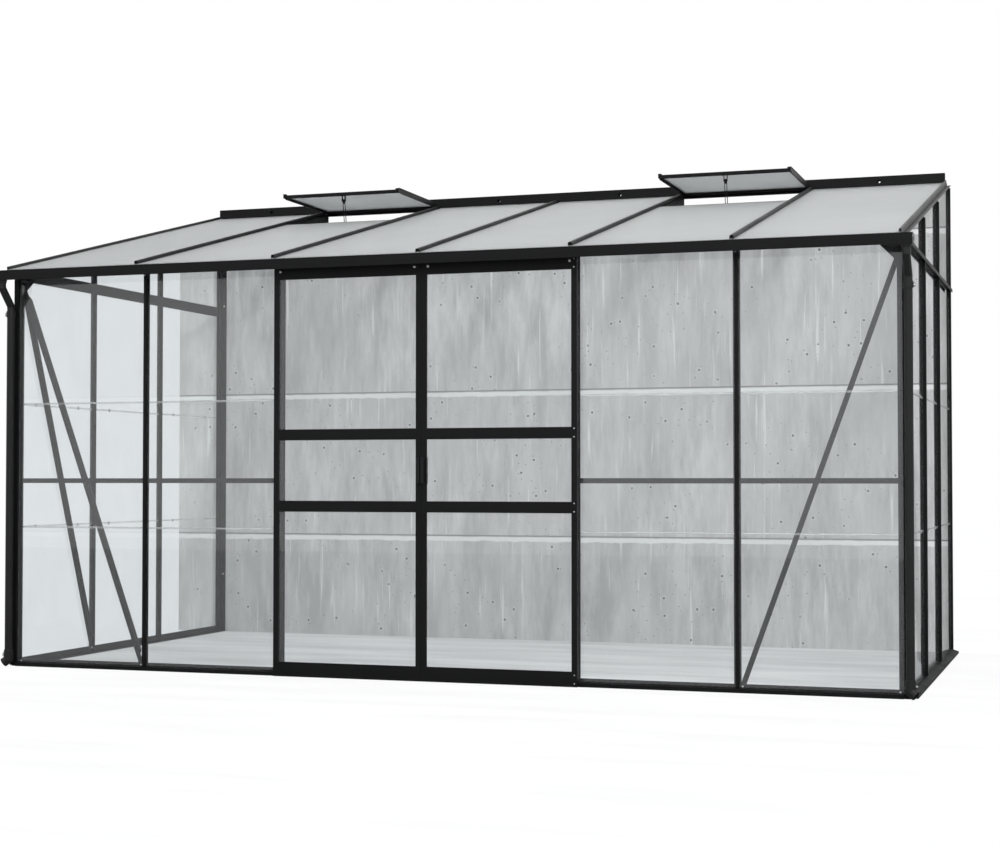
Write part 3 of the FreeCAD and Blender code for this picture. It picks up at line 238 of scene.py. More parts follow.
def makeCoatGrain(look):
    # Orange peel of a sprayed or moulded skin, as a height, with a soft blotch mask
    group, start, end = newGroup("coatGrain", [
        ("Fine", "NodeSocketFloat", 900.0),
        ("Broad", "NodeSocketFloat", 6.0),
    ], [("Height", "NodeSocketFloat"), ("Blotch", "NodeSocketFloat")])
    place = objectPlace(group, -900, -200)
    fine = noiseNode(group, place, start.outputs["Fine"], look["fineDetail"], -600, 150)
    broad = noiseNode(group, place, start.outputs["Broad"], look["broadDetail"], -600, -150,
                      look["broadRough"])
    blotch = mapRange(group, broad, look["few"], look["many"], 0.0, 1.0, -300, -150)
    group.links.new(fine, end.inputs["Height"])
    group.links.new(blotch, end.inputs["Blotch"])
    return group


def makeSettledDust(look):
    # Dust on faces that look up, broken by noise
    group, start, end = newGroup("settledDust", [
        ("Scale", "NodeSocketFloat", 14.0),
        ("Amount", "NodeSocketFloat", 0.5),
    ], [("Mask", "NodeSocketFloat")])
    geometry = addNode(group, "ShaderNodeNewGeometry", -900, 150)
    split = addNode(group, "ShaderNodeSeparateXYZ", -700, 150)
    group.links.new(geometry.outputs["Normal"], split.inputs[0])
    up = mapRange(group, split.outputs["Z"], look["steep"], look["level"], 0.0, 1.0, -500, 150)
    place = objectPlace(group, -900, -150)
    noise = noiseNode(group, place, start.outputs["Scale"], look["detail"], -700, -150)
    patch = mapRange(group, noise, look["few"], look["many"], look["least"], 1.0, -500, -150)
    mask = mathNode(group, "MULTIPLY", up, patch, -200, 0)
    mask = mathNode(group, "MULTIPLY", mask, start.outputs["Amount"], 0, 0)
    group.links.new(mask, end.inputs["Mask"])
    return group


edgeWear = makeEdgeWear(wearSet)
coatGrain = makeCoatGrain(grainSet)
settledDust = makeSettledDust(dustSet)


# Finishes
paint = {"worn": (0.035, 0.036, 0.038), "rough": 0.45, "shine": 0.14, "spread": 0.10,
         "peel": 0.00006, "fine": 700.0, "wear": 0.5, "dust": 0.10}
plastic = {"worn": (0.03, 0.031, 0.033), "rough": 0.42, "shine": 0.16, "spread": 0.12,
           "peel": 0.00003, "fine": 380.0, "wear": 0.3, "dust": 0.10}
finishes = {
    "blackFrame": {**paint, "colour": (0.0055, 0.0056, 0.006)},
    # Gable bars: lighter colour and more dust on up-facing faces, a painted highlight; also glossier
    "gableFrame": {**paint, "colour": (0.0075, 0.0076, 0.008), "rough": 0.38, "shine": 0.42, "dust": 0.16},
    "innerFrame": {**paint, "colour": (0.007, 0.0071, 0.0076), "rough": 0.48},
    "capStrip": {**plastic, "colour": (0.005, 0.0051, 0.0055)},
    "pipePlastic": {**plastic, "colour": (0.0135, 0.0136, 0.014), "rough": 0.36, "shine": 0.2,
                    "peel": 0.00005, "fine": 420.0, "dust": 0.12},
    "handlePlastic": {**plastic, "colour": (0.011, 0.0112, 0.0118), "rough": 0.5, "shine": 0.15,
                      "spread": 0.08, "peel": 0.0001, "fine": 900.0, "wear": 0.5},
    "nylon": {**plastic, "colour": (0.02, 0.02, 0.022), "worn": (0.07, 0.07, 0.072), "rough": 0.5,
              "shine": 0.3, "spread": 0.1, "peel": 0.00004, "fine": 500.0, "wear": 0.4},
}
coatSet = {"broad": 5.0, "lighter": 1.35, "dust": (0.09, 0.088, 0.083), "duller": 0.3}


def coatedFinish(name, values, look):
    material, tree, shader, _ = newMaterial(name)
    grain = placeGroup(tree, coatGrain, -500, -200, {"Fine": values["fine"], "Broad": look["broad"]})
    wear = placeGroup(tree, edgeWear, -500, 200, {"Amount": values["wear"]})
    dust = placeGroup(tree, settledDust, -500, 0, {"Amount": values["dust"]})
    shader.inputs["Specular IOR Level"].default_value = values["shine"]
    base = values["colour"]
    light = tuple(c * look["lighter"] for c in base)
    colour = mixColour(tree, grain.outputs["Blotch"], base, light, -250, 200)
    colour = mixColour(tree, dust.outputs["Mask"], colour, look["dust"], -50, 200)
    colour = mixColour(tree, wear.outputs["Mask"], colour, values["worn"], 150, 200)
    tree.links.new(colour, shader.inputs["Base Color"])
    low = values["rough"] - values["spread"] / 2
    rough = mapRange(tree, grain.outputs["Blotch"], 0, 1, low, low + values["spread"], -250, -50)
    dull = mathNode(tree, "MULTIPLY", dust.outputs["Mask"], look["duller"], -250, -300)
    rough = mathNode(tree, "ADD", rough, dull, 0, -100)
    tree.links.new(rough, shader.inputs["Roughness"])
    addBump(tree, shader, grain.outputs["Height"], values["peel"])
    return material


steels = {
    "fixingSteel": {"colour": (0.84, 0.84, 0.83), "rough": 0.34},
    "hangerSteel": {"colour": (0.42, 0.42, 0.42), "rough": 0.38},
}
steelSet = {"stretch": (400, 400, 2500), "detail": 3, "few": 0.3, "many": 0.7, "smoother": 0.08,
            "rougher": 0.1, "fine": 1500.0, "broad": 60.0, "darker": 0.72, "groove": 0.00003}


def steelFinish(name, values, look):
    # Plated steel with fine brushing and dull patches
    material, tree, shader, _ = newMaterial(name)
    shader.inputs["Metallic"].default_value = 1.0
    place = stretchPlace(tree, objectPlace(tree, -900, 0), look["stretch"], -700, 0)
    brush = noiseNode(tree, place, 1.0, look["detail"], -500, 0)
    grain = placeGroup(tree, coatGrain, -500, -250, {"Fine": look["fine"], "Broad": look["broad"]})
    dark = tuple(c * look["darker"] for c in values["colour"])
    tint = mixColour(tree, grain.outputs["Blotch"], values["colour"], dark, -200, 150)
    tree.links.new(tint, shader.inputs["Base Color"])
    low, high = values["rough"] - look["smoother"], values["rough"] + look["rougher"]
    rough = mapRange(tree, brush, look["few"], look["many"], low, high, -200, -50)
    tree.links.new(rough, shader.inputs["Roughness"])
    addBump(tree, shader, brush, look["groove"])
    return material


glassLook = {
    "tint": (0.975, 0.988, 0.99),
    "clear": 0.975,           # the rest is a thin film of dust that scatters light
    "bend": 1.5,
    "film": 5.0,
    "filmDetail": 6,
    "filmRough": 0.65,
    "dulled": (0.45, 0.75),   # range of the film's noise
    "blurred": (0.5, 0.8),
    "duller": 0.975,
    "blur": 0.012,
    "waves": 1.6,
    "wavy": 0.0002,
}


def glassFinish(name, values):
    # Float glass with a faint film of dried rain; lamps shine through it
    material, tree, shader, output = newMaterial(name)
    shader.inputs["Transmission Weight"].default_value = values["clear"]
    shader.inputs["IOR"].default_value = values["bend"]
    tint = values["tint"]
    place = objectPlace(tree, -900, 0)
    film = noiseNode(tree, place, values["film"], values["filmDetail"], -700, 0, values["filmRough"])
    dull = tuple(c * values["duller"] for c in tint)
    mask = mapRange(tree, film, *values["dulled"], 0.0, 1.0, -450, 100)
    tone = mixColour(tree, mask, tint, dull, -200, 100)
    tree.links.new(tone, shader.inputs["Base Color"])
    rough = mapRange(tree, film, *values["blurred"], 0.0, values["blur"], -450, -150)
    tree.links.new(rough, shader.inputs["Roughness"])
    wave = noiseNode(tree, place, values["waves"], 1, -700, -350)
    addBump(tree, shader, wave, values["wavy"])
    passLamps(tree, shader, output, tint)
    return material


def passLamps(tree, shader, output, tint):
    # Shadow rays go through, tinted
    clear = addNode(tree, "ShaderNodeBsdfTransparent", 560, -400)
    clear.inputs["Color"].default_value = tint + (1,)
    ray = addNode(tree, "ShaderNodeLightPath", 560, 400)
    showMix(tree, output, ray.outputs["Is Shadow Ray"], shader, clear)


milkyLook = {
    "roofGlass": {"colour": (0.74, 0.755, 0.755), "pass": (0.9, 0.91, 0.91), "clear": 0.6, "alpha": 0.86,
                  "rough": 0.5, "blotch": 0.05, "grain": 0.00004},
    "clearStrip": {"colour": (0.78, 0.8, 0.8), "pass": (0.95, 0.95, 0.95), "clear": 0.5, "alpha": 0.25,
                   "rough": 0.35, "blotch": 0.04, "grain": 0.00002},
}
milkySet = {"bend": 1.49, "fine": 260.0, "broad": 1.3, "dust": (0.70, 0.71, 0.70), "dusty": 0.25,
            "dustScale": 9.0, "spread": 0.06}


def milkyFinish(name, values, look):
    # Obscured sheet: it scatters most of the light and lets a little straight through
    material, tree, shader, output = newMaterial(name)
    shader.inputs["Transmission Weight"].default_value = values["clear"]
    shader.inputs["IOR"].default_value = look["bend"]
    shader.inputs["Alpha"].default_value = values["alpha"]
    grain = placeGroup(tree, coatGrain, -700, 0, {"Fine": look["fine"], "Broad": look["broad"]})
    base = values["colour"]
    dull = tuple(c * (1 - values["blotch"]) for c in base)
    tone = mixColour(tree, grain.outputs["Blotch"], base, dull, -200, 100)
    dust = placeGroup(tree, settledDust, -700, -300, {"Amount": look["dusty"], "Scale": look["dustScale"]})
    tone = mixColour(tree, dust.outputs["Mask"], tone, look["dust"], 0, 100)
    tree.links.new(tone, shader.inputs["Base Color"])
    low = values["rough"]
    rough = mapRange(tree, grain.outputs["Blotch"], 0, 1, low, low + look["spread"], -200, -100)
    tree.links.new(rough, shader.inputs["Roughness"])
    addBump(tree, shader, grain.outputs["Height"], values["grain"])
    passLamps(tree, shader, output, values["pass"])
    return material


materials = {name: coatedFinish(name, values, coatSet) for name, values in finishes.items()}
for name, values in steels.items():
    materials[name] = steelFinish(name, values, steelSet)
materials["wallGlass"] = glassFinish("wallGlass", glassLook)
for name, values in milkyLook.items():
    materials[name] = milkyFinish(name, values, milkySet)
print("finishes made")


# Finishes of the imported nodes
def camelSlot(slot):
    words = slot.split("_")
    return words[0] + "".join(w.capitalize() for w in words[1:])


# The gable bars get a copy of the black finish whose lighter colour and larger dust share are a painted
# highlight for the light their sloping tops catch
ownFinish = {"gable_bars": "gableFrame"}


def dressNodes(own):
    for part in frame["record"]["subparts"]:
        piece = nodes[part["node"]]
        finish = own.get(part["node"], camelSlot(part["material_slot"]))
        piece.data.materials.clear()
        piece.data.materials.append(materials[finish])


dressNodes(ownFinish)
print("nodes dressed")


# Modelling helpers. Small things are made in millimetres and brought to size when they are placed
millimetre = 0.001
upward = 0.9             # a face whose normal's part along an axis is above this faces that way
smoothAngle = 35         # degrees


def pickFaces(piece, axis, sign=1.0):
    # Edit mode with only the faces selected that face along the axis
    bpy.ops.object.mode_set(mode="OBJECT")
    bpy.context.tool_settings.mesh_select_mode = (False, False, True)
    mesh = piece.data
    for item in list(mesh.vertices) + list(mesh.edges):
        item.select = False
    for face in mesh.polygons:
        face.select = face.normal[axis] * sign > upward
    bpy.ops.object.mode_set(mode="EDIT")


def finishEdit():
    bpy.ops.mesh.select_all(action="SELECT")
    bpy.ops.mesh.normals_make_consistent(inside=False)
    bpy.ops.object.mode_set(mode="OBJECT")


def newCylinder(name, sides, radius, height, low=0.0):
    bpy.ops.object.select_all(action="DESELECT")
    bpy.ops.mesh.primitive_cylinder_add(vertices=sides, radius=radius, depth=height, location=(0, 0, 0))
    piece = bpy.context.object
    piece.data.transform(Matrix.Translation((0, 0, low + height / 2)))
    piece.name = name
    return piece


def newBlock(name, size, low=0.0):
    bpy.ops.object.select_all(action="DESELECT")
    bpy.ops.mesh.primitive_cube_add(size=1, location=(0, 0, 0))
    piece = bpy.context.object
    piece.name = name
    piece.data.transform(Matrix.Diagonal((size[0], size[1], size[2], 1)))
    piece.data.transform(Matrix.Translation((0, 0, low + size[2] / 2)))
    return piece


def applyModifier(piece, modifier):
    bpy.ops.object.select_all(action="DESELECT")
    bpy.context.view_layer.objects.active = piece
    piece.select_set(True)
    bpy.ops.object.modifier_apply(modifier=modifier.name)


def cutWith(piece, tool, operation):
    cut = piece.modifiers.new("cut", "BOOLEAN")
    cut.object = tool
    cut.operation = operation
    cut.solver = "EXACT"
    applyModifier(piece, cut)
    bpy.data.objects.remove(tool)


def bevelEdges(piece, width, segments):
    bevel = piece.modifiers.new("bevel", "BEVEL")
    bevel.width = width
    bevel.segments = segments
    bevel.limit_method = "ANGLE"
    applyModifier(piece, bevel)


def smoothByAngle(piece, degrees):
    bpy.ops.object.select_all(action="DESELECT")
    bpy.context.view_layer.objects.active = piece
    piece.select_set(True)
    bpy.ops.object.shade_smooth_by_angle(angle=math.radians(degrees))


def placeCopy(source, place, up, across):
    # A copy with its own mesh: local Z points along up, local Y along across
    copy = source.copy()
    copy.data = source.data.copy()
    scene.collection.objects.link(copy)
    zAxis = Vector(up).normalized()
    yAxis = Vector(across).normalized()
    xAxis = yAxis.cross(zAxis)
    turn = Matrix((xAxis, yAxis, zAxis)).transposed().to_4x4()
    copy.data.transform(Matrix.Translation(place) @ turn @ Matrix.Scale(millimetre, 4))
    return copy


def joinCopies(name, copies, material, body):
    # One piece of all copies, dressed and riding on its body
    bpy.ops.object.select_all(action="DESELECT")
    for copy in copies:
        copy.select_set(True)
    piece = copies[0]
    bpy.context.view_layer.objects.active = piece
    if len(copies) > 1:
        bpy.ops.object.join()
    piece.name = name
    piece.data.name = name
    piece.data.materials.clear()
    piece.data.materials.append(materials[material])
    smoothByAngle(piece, smoothAngle)
    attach(piece, body)
    return piece


# Screw heads and nuts, put where the frame has its plain ones
fixingLook = {
    "sides": 24,
    "headRound": 0.42,        # share of the head's height that is rounded
    "crossLong": 1.05,        # of the radius
    "crossWide": 0.26,
    "crossDeep": 0.55,        # of the height
    "chamfer": 0.16,          # of the nut's corner radius
    "chamferSides": 36,
    "chamferWide": 1.005,     # of the corner radius
    "chamferLow": -0.002,     # of the height
    "stub": 0.5,              # bolt radius against the nut's
    "grooveOut": 1.12,        # of the bolt's radius
    "grooveTop": 0.7,         # of the nut's height
    "ringWide": 0.1,
    "ringSlope": 0.04,
    "ringDeep": 0.22,
    "hexShare": 0.95,         # a piece narrower than this one way is a hexagon
}


def makePanHead(radius, height, look):
    head = newCylinder("panHead", look["sides"], radius, height)
    pickFaces(head, 2)
    bpy.ops.mesh.bevel(offset=height * look["headRound"], segments=3, affect="EDGES")
    finishEdit()
    deep = height * look["crossDeep"]
    long, wide = radius * look["crossLong"], radius * look["crossWide"]
    for size in ((long, wide, height), (wide, long, height)):
        cutWith(head, newBlock("crossTool", size, height - deep), "DIFFERENCE")
    return head


def makeHexNut(corner, height, look):
    nut = newCylinder("hexNut", 6, corner, height)
    wide = corner * look["chamferWide"]
    disc = newCylinder("discTool", look["chamferSides"], wide, height, height * look["chamferLow"])
    pickFaces(disc, 2)
    bpy.ops.mesh.bevel(offset=corner * look["chamfer"], segments=1, affect="EDGES")
    finishEdit()
    cutWith(nut, disc, "INTERSECT")
    # The bolt's end stands in a ring groove
    bolt = corner * look["stub"]
    wide = bolt * look["grooveOut"]
    groove = newCylinder("grooveTool", look["sides"], wide, height, height * look["grooveTop"])
    pickFaces(groove, 2, -1.0)
    bpy.ops.mesh.inset(thickness=bolt * look["ringWide"], depth=0)
    bpy.ops.mesh.inset(thickness=bolt * look["ringSlope"], depth=-height * look["ringDeep"])
    finishEdit()
    cutWith(nut, groove, "DIFFERENCE")
    return nut


gridSteps = 20000     # per metre: vertices on the same step are one


def loosePieces(node):
    # Low and high corner of each separate solid in a node
    mesh = nodes[node].data
    known = {}
    steps = [tuple(round(c * gridSteps) for c in vertex.co) for vertex in mesh.vertices]
    spot = [known.setdefault(step, len(known)) for step in steps]
    parent = list(range(len(known)))

    def root(index):
        while parent[index] != index:
            index = parent[index]
        return index

    for face in mesh.polygons:
        for corner in face.vertices:
            parent[root(spot[corner])] = root(spot[face.vertices[0]])
    found = {}
    for vertex, index in zip(mesh.vertices, spot):
        found.setdefault(root(index), []).append(vertex.co)
    boxes = []
    for points in found.values():
        low = Vector(min(p[k] for p in points) for k in range(3))
        high = Vector(max(p[k] for p in points) for k in range(3))
        boxes.append((low, high))
    return sorted(boxes, key=lambda box: tuple(box[0]))


fixingStore = {}


def fixingOf(isNut, radius, height):
    key = (isNut, round(radius, 1), round(height, 1))
    if key not in fixingStore:
        make = makeHexNut if isNut else makePanHead
        fixingStore[key] = make(radius, height, fixingLook)
    return fixingStore[key]


def axisVector(axis, sign=1.0):
    return Vector(sign if k == axis else 0.0 for k in range(3))


def makeFixings(name, node, body):
    # A head points out of the house, a nut into it
    copies = []
    for low, high in loosePieces(node):
        size = high - low
        middle = (low + high) / 2
        axis = min(range(3), key=lambda k: size[k])
        flat = [k for k in range(3) if k != axis]
        longest = max(flat, key=lambda k: size[k])
        isNut = min(size[k] for k in flat) < fixingLook["hexShare"] * size[longest]
        outward = math.copysign(1.0, middle[axis])
        up = axisVector(axis, -outward if isNut else outward)
        source = fixingOf(isNut, size[longest] / 2 / millimetre, size[axis] / millimetre)
        copies.append(placeCopy(source, middle - up * size[axis] / 2, up, axisVector(longest)))
    piece = joinCopies(name, copies, "fixingSteel", body)
    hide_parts(node)


makeFixings("leftDoorFixings", "left_door_screws", "left_door")
makeFixings("rightDoorFixings", "right_door_screws", "right_door")
makeFixings("frameFixings", "frame_bolts", "frame")
print("screws and nuts made")


# Screws in the gutter's end plates
gutterScrewLook = {"radius": 3.2, "height": 1.6, "spots": ((0.2, 0.72), (0.62, 0.3))}


def makeGutterScrews(look):
    low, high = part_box("gutter_ends")
    source = makePanHead(look["radius"], look["height"], fixingLook)
    copies = []
    for side in (-1, 1):
        for along, rise in look["spots"]:
            y = low[1] + (high[1] - low[1]) * along
            z = low[2] + (high[2] - low[2]) * rise
            copies.append(placeCopy(source, Vector((side * high[0], y, z)), (side, 0, 0), (0, 0, 1)))
    bpy.data.objects.remove(source)
    joinCopies("gutterScrews", copies, "fixingSteel", "frame")


makeGutterScrews(gutterScrewLook)


# Bolt heads on the outer side of the gussets and foot plates
boltLook = {
    "radius": 4.6,
    "height": 1.5,
    "same": 0.0005,       # a hexagon's two widths differ by more than this
    "footTop": 0.1,       # a brace has its feet below this height
    "gussetLow": 1.6,     # and its gussets above this one
}


def makeBoltHeads(look):
    low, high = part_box("corner_gussets")
    source = makePanHead(look["radius"], look["height"], fixingLook)
    copies = []
    for one, other in loosePieces("frame_bolts"):
        middle = (one + other) / 2
        size = other - one
        isNut = abs(max(size) - sorted(size)[1]) > look["same"]
        if isNut and not look["footTop"] < middle.z < look["gussetLow"]:
            axis = min(range(3), key=lambda k: size[k])
            outward = math.copysign(1.0, middle[axis])
            middle[axis] = high[0] * outward if axis == 0 else low[1]
            copies.append(placeCopy(source, middle, axisVector(axis, outward), (0, 0, 1)))
    bpy.data.objects.remove(source)
    joinCopies("boltHeads", copies, "fixingSteel", "frame")


makeBoltHeads(boltLook)


# The screw in the ear of each pipe's collar, and an ear with a screw at each pipe's foot
collarLook = {
    "radius": 4.0,
    "height": 1.5,
    "earIn": 3.6,                   # from the ear's end to the screw
    "earReach": 7.0,
    "earHalf": 4.0,
    "drop": 1.0,
    "earSize": (16.0, 14.0, 5.0),
    "earEdge": 0.6,
    "footRise": 49.0,
}


def makeCollarScrews(look):
    source = makePanHead(look["radius"], look["height"], fixingLook)
    ear = newBlock("footEar", look["earSize"])
    bevelEdges(ear, look["earEdge"], 2)
    earWide, _, earDeep = look["earSize"]
    copies = []
    ears = []
    for side, node in ((-1, "left_pipe_fittings"), (1, "right_pipe_fittings")):
        low, high = max(loosePieces(node), key=lambda box: box[1].z)
        outer = low.x if side < 0 else high.x
        # The collar is round, so its middle lies one radius behind its front
        radius = (high.x - low.x - look["earReach"] * millimetre) / 2
        x = outer - side * look["earIn"] * millimetre
        y = low.y + radius - look["earHalf"] * millimetre
        collarRise = (low.z + high.z) / 2 - look["drop"] * millimetre
        footRise = look["footRise"] * millimetre
        for z in (collarRise, footRise):
            copies.append(placeCopy(source, Vector((x, y, z)), (0, -1, 0), (0, 0, 1)))
        place = Vector((outer - side * earWide / 2 * millimetre, y + earDeep * millimetre, footRise))
        ears.append(placeCopy(ear, place, (0, -1, 0), (0, 0, 1)))
    bpy.data.objects.remove(source)
    bpy.data.objects.remove(ear)
    joinCopies("collarScrews", copies, "fixingSteel", "frame")
    joinCopies("footEars", ears, "pipePlastic", "frame")


makeCollarScrews(collarLook)


# Screws on the front sill: one at each end and one at each brace foot
sillScrewLook = {
    "radius": 4.6,
    "height": 1.5,
    "spots": ((15.0, 21.0), (591.0, 22.2)),     # in from the end, up from the ground
    "before": 0.1,                              # where the ray that finds the face starts
}


def makeSillScrews(look):
    low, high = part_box("front_sill")
    source = makePanHead(look["radius"], look["height"], fixingLook)
    copies = []
    for side in (-1, 1):
        for endIn, rise in look["spots"]:
            x = side * (high[0] - endIn * millimetre)
            start = Vector((x, low[1] - look["before"], rise * millimetre))
            met, place, normal, _ = nodes["front_sill"].ray_cast(start, Vector((0, 1, 0)))
            if met:
                copies.append(placeCopy(source, place, normal, (1, 0, 0)))
    bpy.data.objects.remove(source)
    joinCopies("sillScrews", copies, "fixingSteel", "frame")


makeSillScrews(sillScrewLook)
print("screws and bolt heads made")


# The folded leg along the upper edge of each corner brace
legLook = {
    "thick": 2.0,
    "deep": 18.0,
    "offset": 9.0,       # from the brace's middle line
    "rise": 2.7,         # from the nut's middle back to the brace's face
    "short": 45.0,       # clear of each bolt
    "taper": 14.0,
    "tip": 0.35,
    "edge": 0.4,
    "same": 0.0005,      # two bolts less apart than this are in one plane
    "footTop": 0.1,
    "gussetLow": 1.0,
}


def makeLeg(length, look):
    leg = newBlock("braceLeg", (look["thick"], length - 2 * look["taper"], look["deep"]))
    for end in (-1, 1):
        pickFaces(leg, 1, end)
        bpy.ops.mesh.extrude_region_move(TRANSFORM_OT_translate={"value": (0, end * look["taper"], 0)})
        bpy.ops.transform.resize(value=(1, 1, look["tip"]), center_override=(0, 0, 0))
        finishEdit()
    bevelEdges(leg, look["edge"], 2)
    return leg


def makeBraceLegs(look):
    middles = [(low + high) / 2 for low, high in loosePieces("frame_bolts")]
    copies = []
    for foot in middles:
        for top in middles:
            sameEnd = abs(foot.x - top.x) < look["same"]
            sameFront = abs(foot.y - top.y) < look["same"] and foot.x * top.x > 0
            isPair = foot.z <= look["footTop"] and top.z >= look["gussetLow"]
            if not isPair or not (sameEnd or sameFront):
                continue
            inward = Vector((-math.copysign(1.0, foot.x), 0, 0)) if sameEnd else Vector((0, 1, 0))
            along = (top - foot).normalized()
            upper = inward.cross(along)
            upper *= math.copysign(1.0, upper.z)
            length = (top - foot).length / millimetre - 2 * look["short"]
            leg = makeLeg(length, look)
            shift = upper * look["offset"] * millimetre - inward * look["rise"] * millimetre
            copies.append(placeCopy(leg, (foot + top) / 2 + shift, inward, along))
            bpy.data.objects.remove(leg)
    joinCopies("braceLegs", copies, "innerFrame", "frame")


makeBraceLegs(legLook)
print("brace legs made")


# Corner keys where the vents' side bars meet the front rail
cornerKeyLook = {
    "wide": 15.0,
    "long": 17.0,
    "high": 5.0,
    "edge": 0.5,
    "rim": 3.0,
    "slope": 0.4,
    "lip": 2.4,
    "forward": 0.004,
}


def makeCornerKeys(side, look):
    low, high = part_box(side + "_vent_front_rail")
    key = newBlock("cornerKey", (look["wide"], look["long"], look["high"]))
    # A rim around the top
    pickFaces(key, 2)
    bpy.ops.mesh.inset(thickness=look["rim"], depth=0)
    bpy.ops.mesh.inset(thickness=look["slope"], depth=-look["lip"])
    finishEdit()
    bevelEdges(key, look["edge"], 2)
    copies = []
    half = look["wide"] / 2 * millimetre
    for x in (low[0] + half, high[0] - half):
        place = Vector((x, low[1] - look["forward"] + look["long"] / 2 * millimetre, high[2]))
        copies.append(placeCopy(key, place, (0, 0, 1), (0, 1, 0)))
    bpy.data.objects.remove(key)
    joinCopies(side + "VentKeys", copies, "handlePlastic", side + "_vent")


makeCornerKeys("left", cornerKeyLook)
makeCornerKeys("right", cornerKeyLook)


# The raised rib along the right side bar of each vent
sideRibLook = {
    "wide": 8.0,
    "high": 9.0,
    "edge": 0.8,
    "seat": 0.5,
    "frontIn": 0.013,
    "backIn": 0.06,     # leaves room for the hook
}


def makeSideRib(side, look):
    low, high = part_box(side + "_vent_frame")
    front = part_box(side + "_vent_front_rail")[0][1] + look["frontIn"]
    back = high[1] - look["backIn"]
    size = (look["wide"], (back - front) / millimetre, look["high"] + look["seat"])
    rib = newBlock("sideRib", size, -look["seat"])
    bevelEdges(rib, look["edge"], 2)
    place = Vector((high[0] - look["wide"] / 2 * millimetre, (front + back) / 2, high[2]))
    copies = [placeCopy(rib, place, (0, 0, 1), (0, 1, 0))]
    bpy.data.objects.remove(rib)
    joinCopies(side + "VentRib", copies, "blackFrame", side + "_vent")


makeSideRib("left", sideRibLook)
makeSideRib("right", sideRibLook)


# Grip ribs on the front of the pull blocks
ribLook = {
    "count": 9,
    "margin": 12.0,
    "high": 3.2,
    "proud": 0.9,
    "side": 2.0,
    "seat": 0.5,
    "edge": 0.42,
}


def makeGripRibs(side, look):
    low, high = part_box(side + "_door_handles")
    wide = (high[0] - low[0]) / millimetre - 2 * look["side"]
    rib = newBlock("gripRib", (wide, look["high"], look["proud"] + look["seat"]), -look["seat"])
    bevelEdges(rib, look["edge"], 3)
    copies = []
    margin = look["margin"] * millimetre
    for number in range(look["count"]):
        z = low[2] + margin + (high[2] - low[2] - 2 * margin) * number / (look["count"] - 1)
        place = Vector(((low[0] + high[0]) / 2, low[1], z))
        copies.append(placeCopy(rib, place, (0, -1, 0), (0, 0, 1)))
    bpy.data.objects.remove(rib)
    joinCopies(side + "GripRibs", copies, "handlePlastic", side + "_door")


makeGripRibs("left", ribLook)
makeGripRibs("right", ribLook)
print("vent keys and grip ribs made")


# Small bent clips over the joints of the end panes, two to a bay
clipLook = {
    "offset": 0.171,     # from the middle of the bay
    "wide": 11.0,
    "high": 15.0,
    "thick": 0.8,
    "bead": 1.0,
    "beadIn": 0.28,      # of the width
    "slope": 0.5,
    "edge": 0.25,
    "strip": 0.003,      # from the strip's end to the clip's middle
    "bays": 3,
}


def makeClip(look):
    clip = newBlock("paneClip", (look["wide"], look["high"], look["thick"]))
    # A pressed rib down the middle
    pickFaces(clip, 2)
    bpy.ops.mesh.inset(thickness=look["wide"] * look["beadIn"], depth=0)
    bpy.ops.mesh.inset(thickness=look["slope"], depth=look["bead"])
    finishEdit()
    bevelEdges(clip, look["edge"], 2)
    return clip


def makeClips(look):
    low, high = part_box("pane_strips")
    glassLow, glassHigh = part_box("left_end_glass")
    clip = makeClip(look)
    pitch = (glassHigh[1] - glassLow[1]) / look["bays"]
    copies = []
    for side in (-1, 1):
        for bay in range(look["bays"]):
            for way in (-1, 1):
                for z in (low[2] + look["strip"], high[2] - look["strip"]):
                    y = glassLow[1] + (bay + 0.5) * pitch + way * look["offset"]
                    place = Vector((side * high[0], y, z))
                    copies.append(placeCopy(clip, place, (side, 0, 0), (0, 0, 1)))
    bpy.data.objects.remove(clip)
    joinCopies("paneClips", copies, "hangerSteel", "frame")


makeClips(clipLook)
for source in fixingStore.values():
    bpy.data.objects.remove(source)
print("pane clips made")


# Light: what lights the object, what glass and metal mirror, and what is seen through glass
lightSet = {
    "sky": (0.74, 0.755, 0.76),
    "shine": (1.0, 1.0, 1.0),
    "behind": (0.82, 0.843, 0.862),
    "backdrop": (1.0, 1.0, 1.0),
    "key": 260.0,
    "keyPlace": (4.5, -6.5, 6.0),
    "keyAim": (0.0, 0.0, 0.8),
    "keySize": 1.6,
}


def makeLight(values):
    world = bpy.data.worlds.new("studio")
    scene.world = world
    world.use_nodes = True
    tree = world.node_tree
    for node in list(tree.nodes):
        tree.nodes.remove(node)
    output = addNode(tree, "ShaderNodeOutputWorld", 600, 0)
    ray = addNode(tree, "ShaderNodeLightPath", 0, 400)
    last = addNode(tree, "ShaderNodeBackground", 0, 0)
    last.inputs["Color"].default_value = values["sky"] + (1,)
    # A sharp ray through glass also counts as glossy, so it is asked for after that
    steps = (("Is Glossy Ray", "shine"), ("Is Transmission Ray", "behind"), ("Is Camera Ray", "backdrop"))
    for number, (kind, colour) in enumerate(steps):
        back = addNode(tree, "ShaderNodeBackground", 0, -150 * (number + 1))
        back.inputs["Color"].default_value = values[colour] + (1,)
        mix = addNode(tree, "ShaderNodeMixShader", 200 + 150 * number, 0)
        tree.links.new(ray.outputs[kind], mix.inputs[0])
        tree.links.new(last.outputs[0], mix.inputs[1])
        tree.links.new(back.outputs[0], mix.inputs[2])
        last = mix
    tree.links.new(last.outputs[0], output.inputs[0])
    data = bpy.data.lights.new("keyLamp", "AREA")
    data.energy = values["key"]
    data.size = values["keySize"]
    lamp = bpy.data.objects.new("keyLamp", data)
    scene.collection.objects.link(lamp)
    lamp.location = values["keyPlace"]
    aim = Vector(values["keyAim"]) - Vector(values["keyPlace"])
    lamp.rotation_euler = aim.to_track_quat("-Z", "Y").to_euler()


makeLight(lightSet)


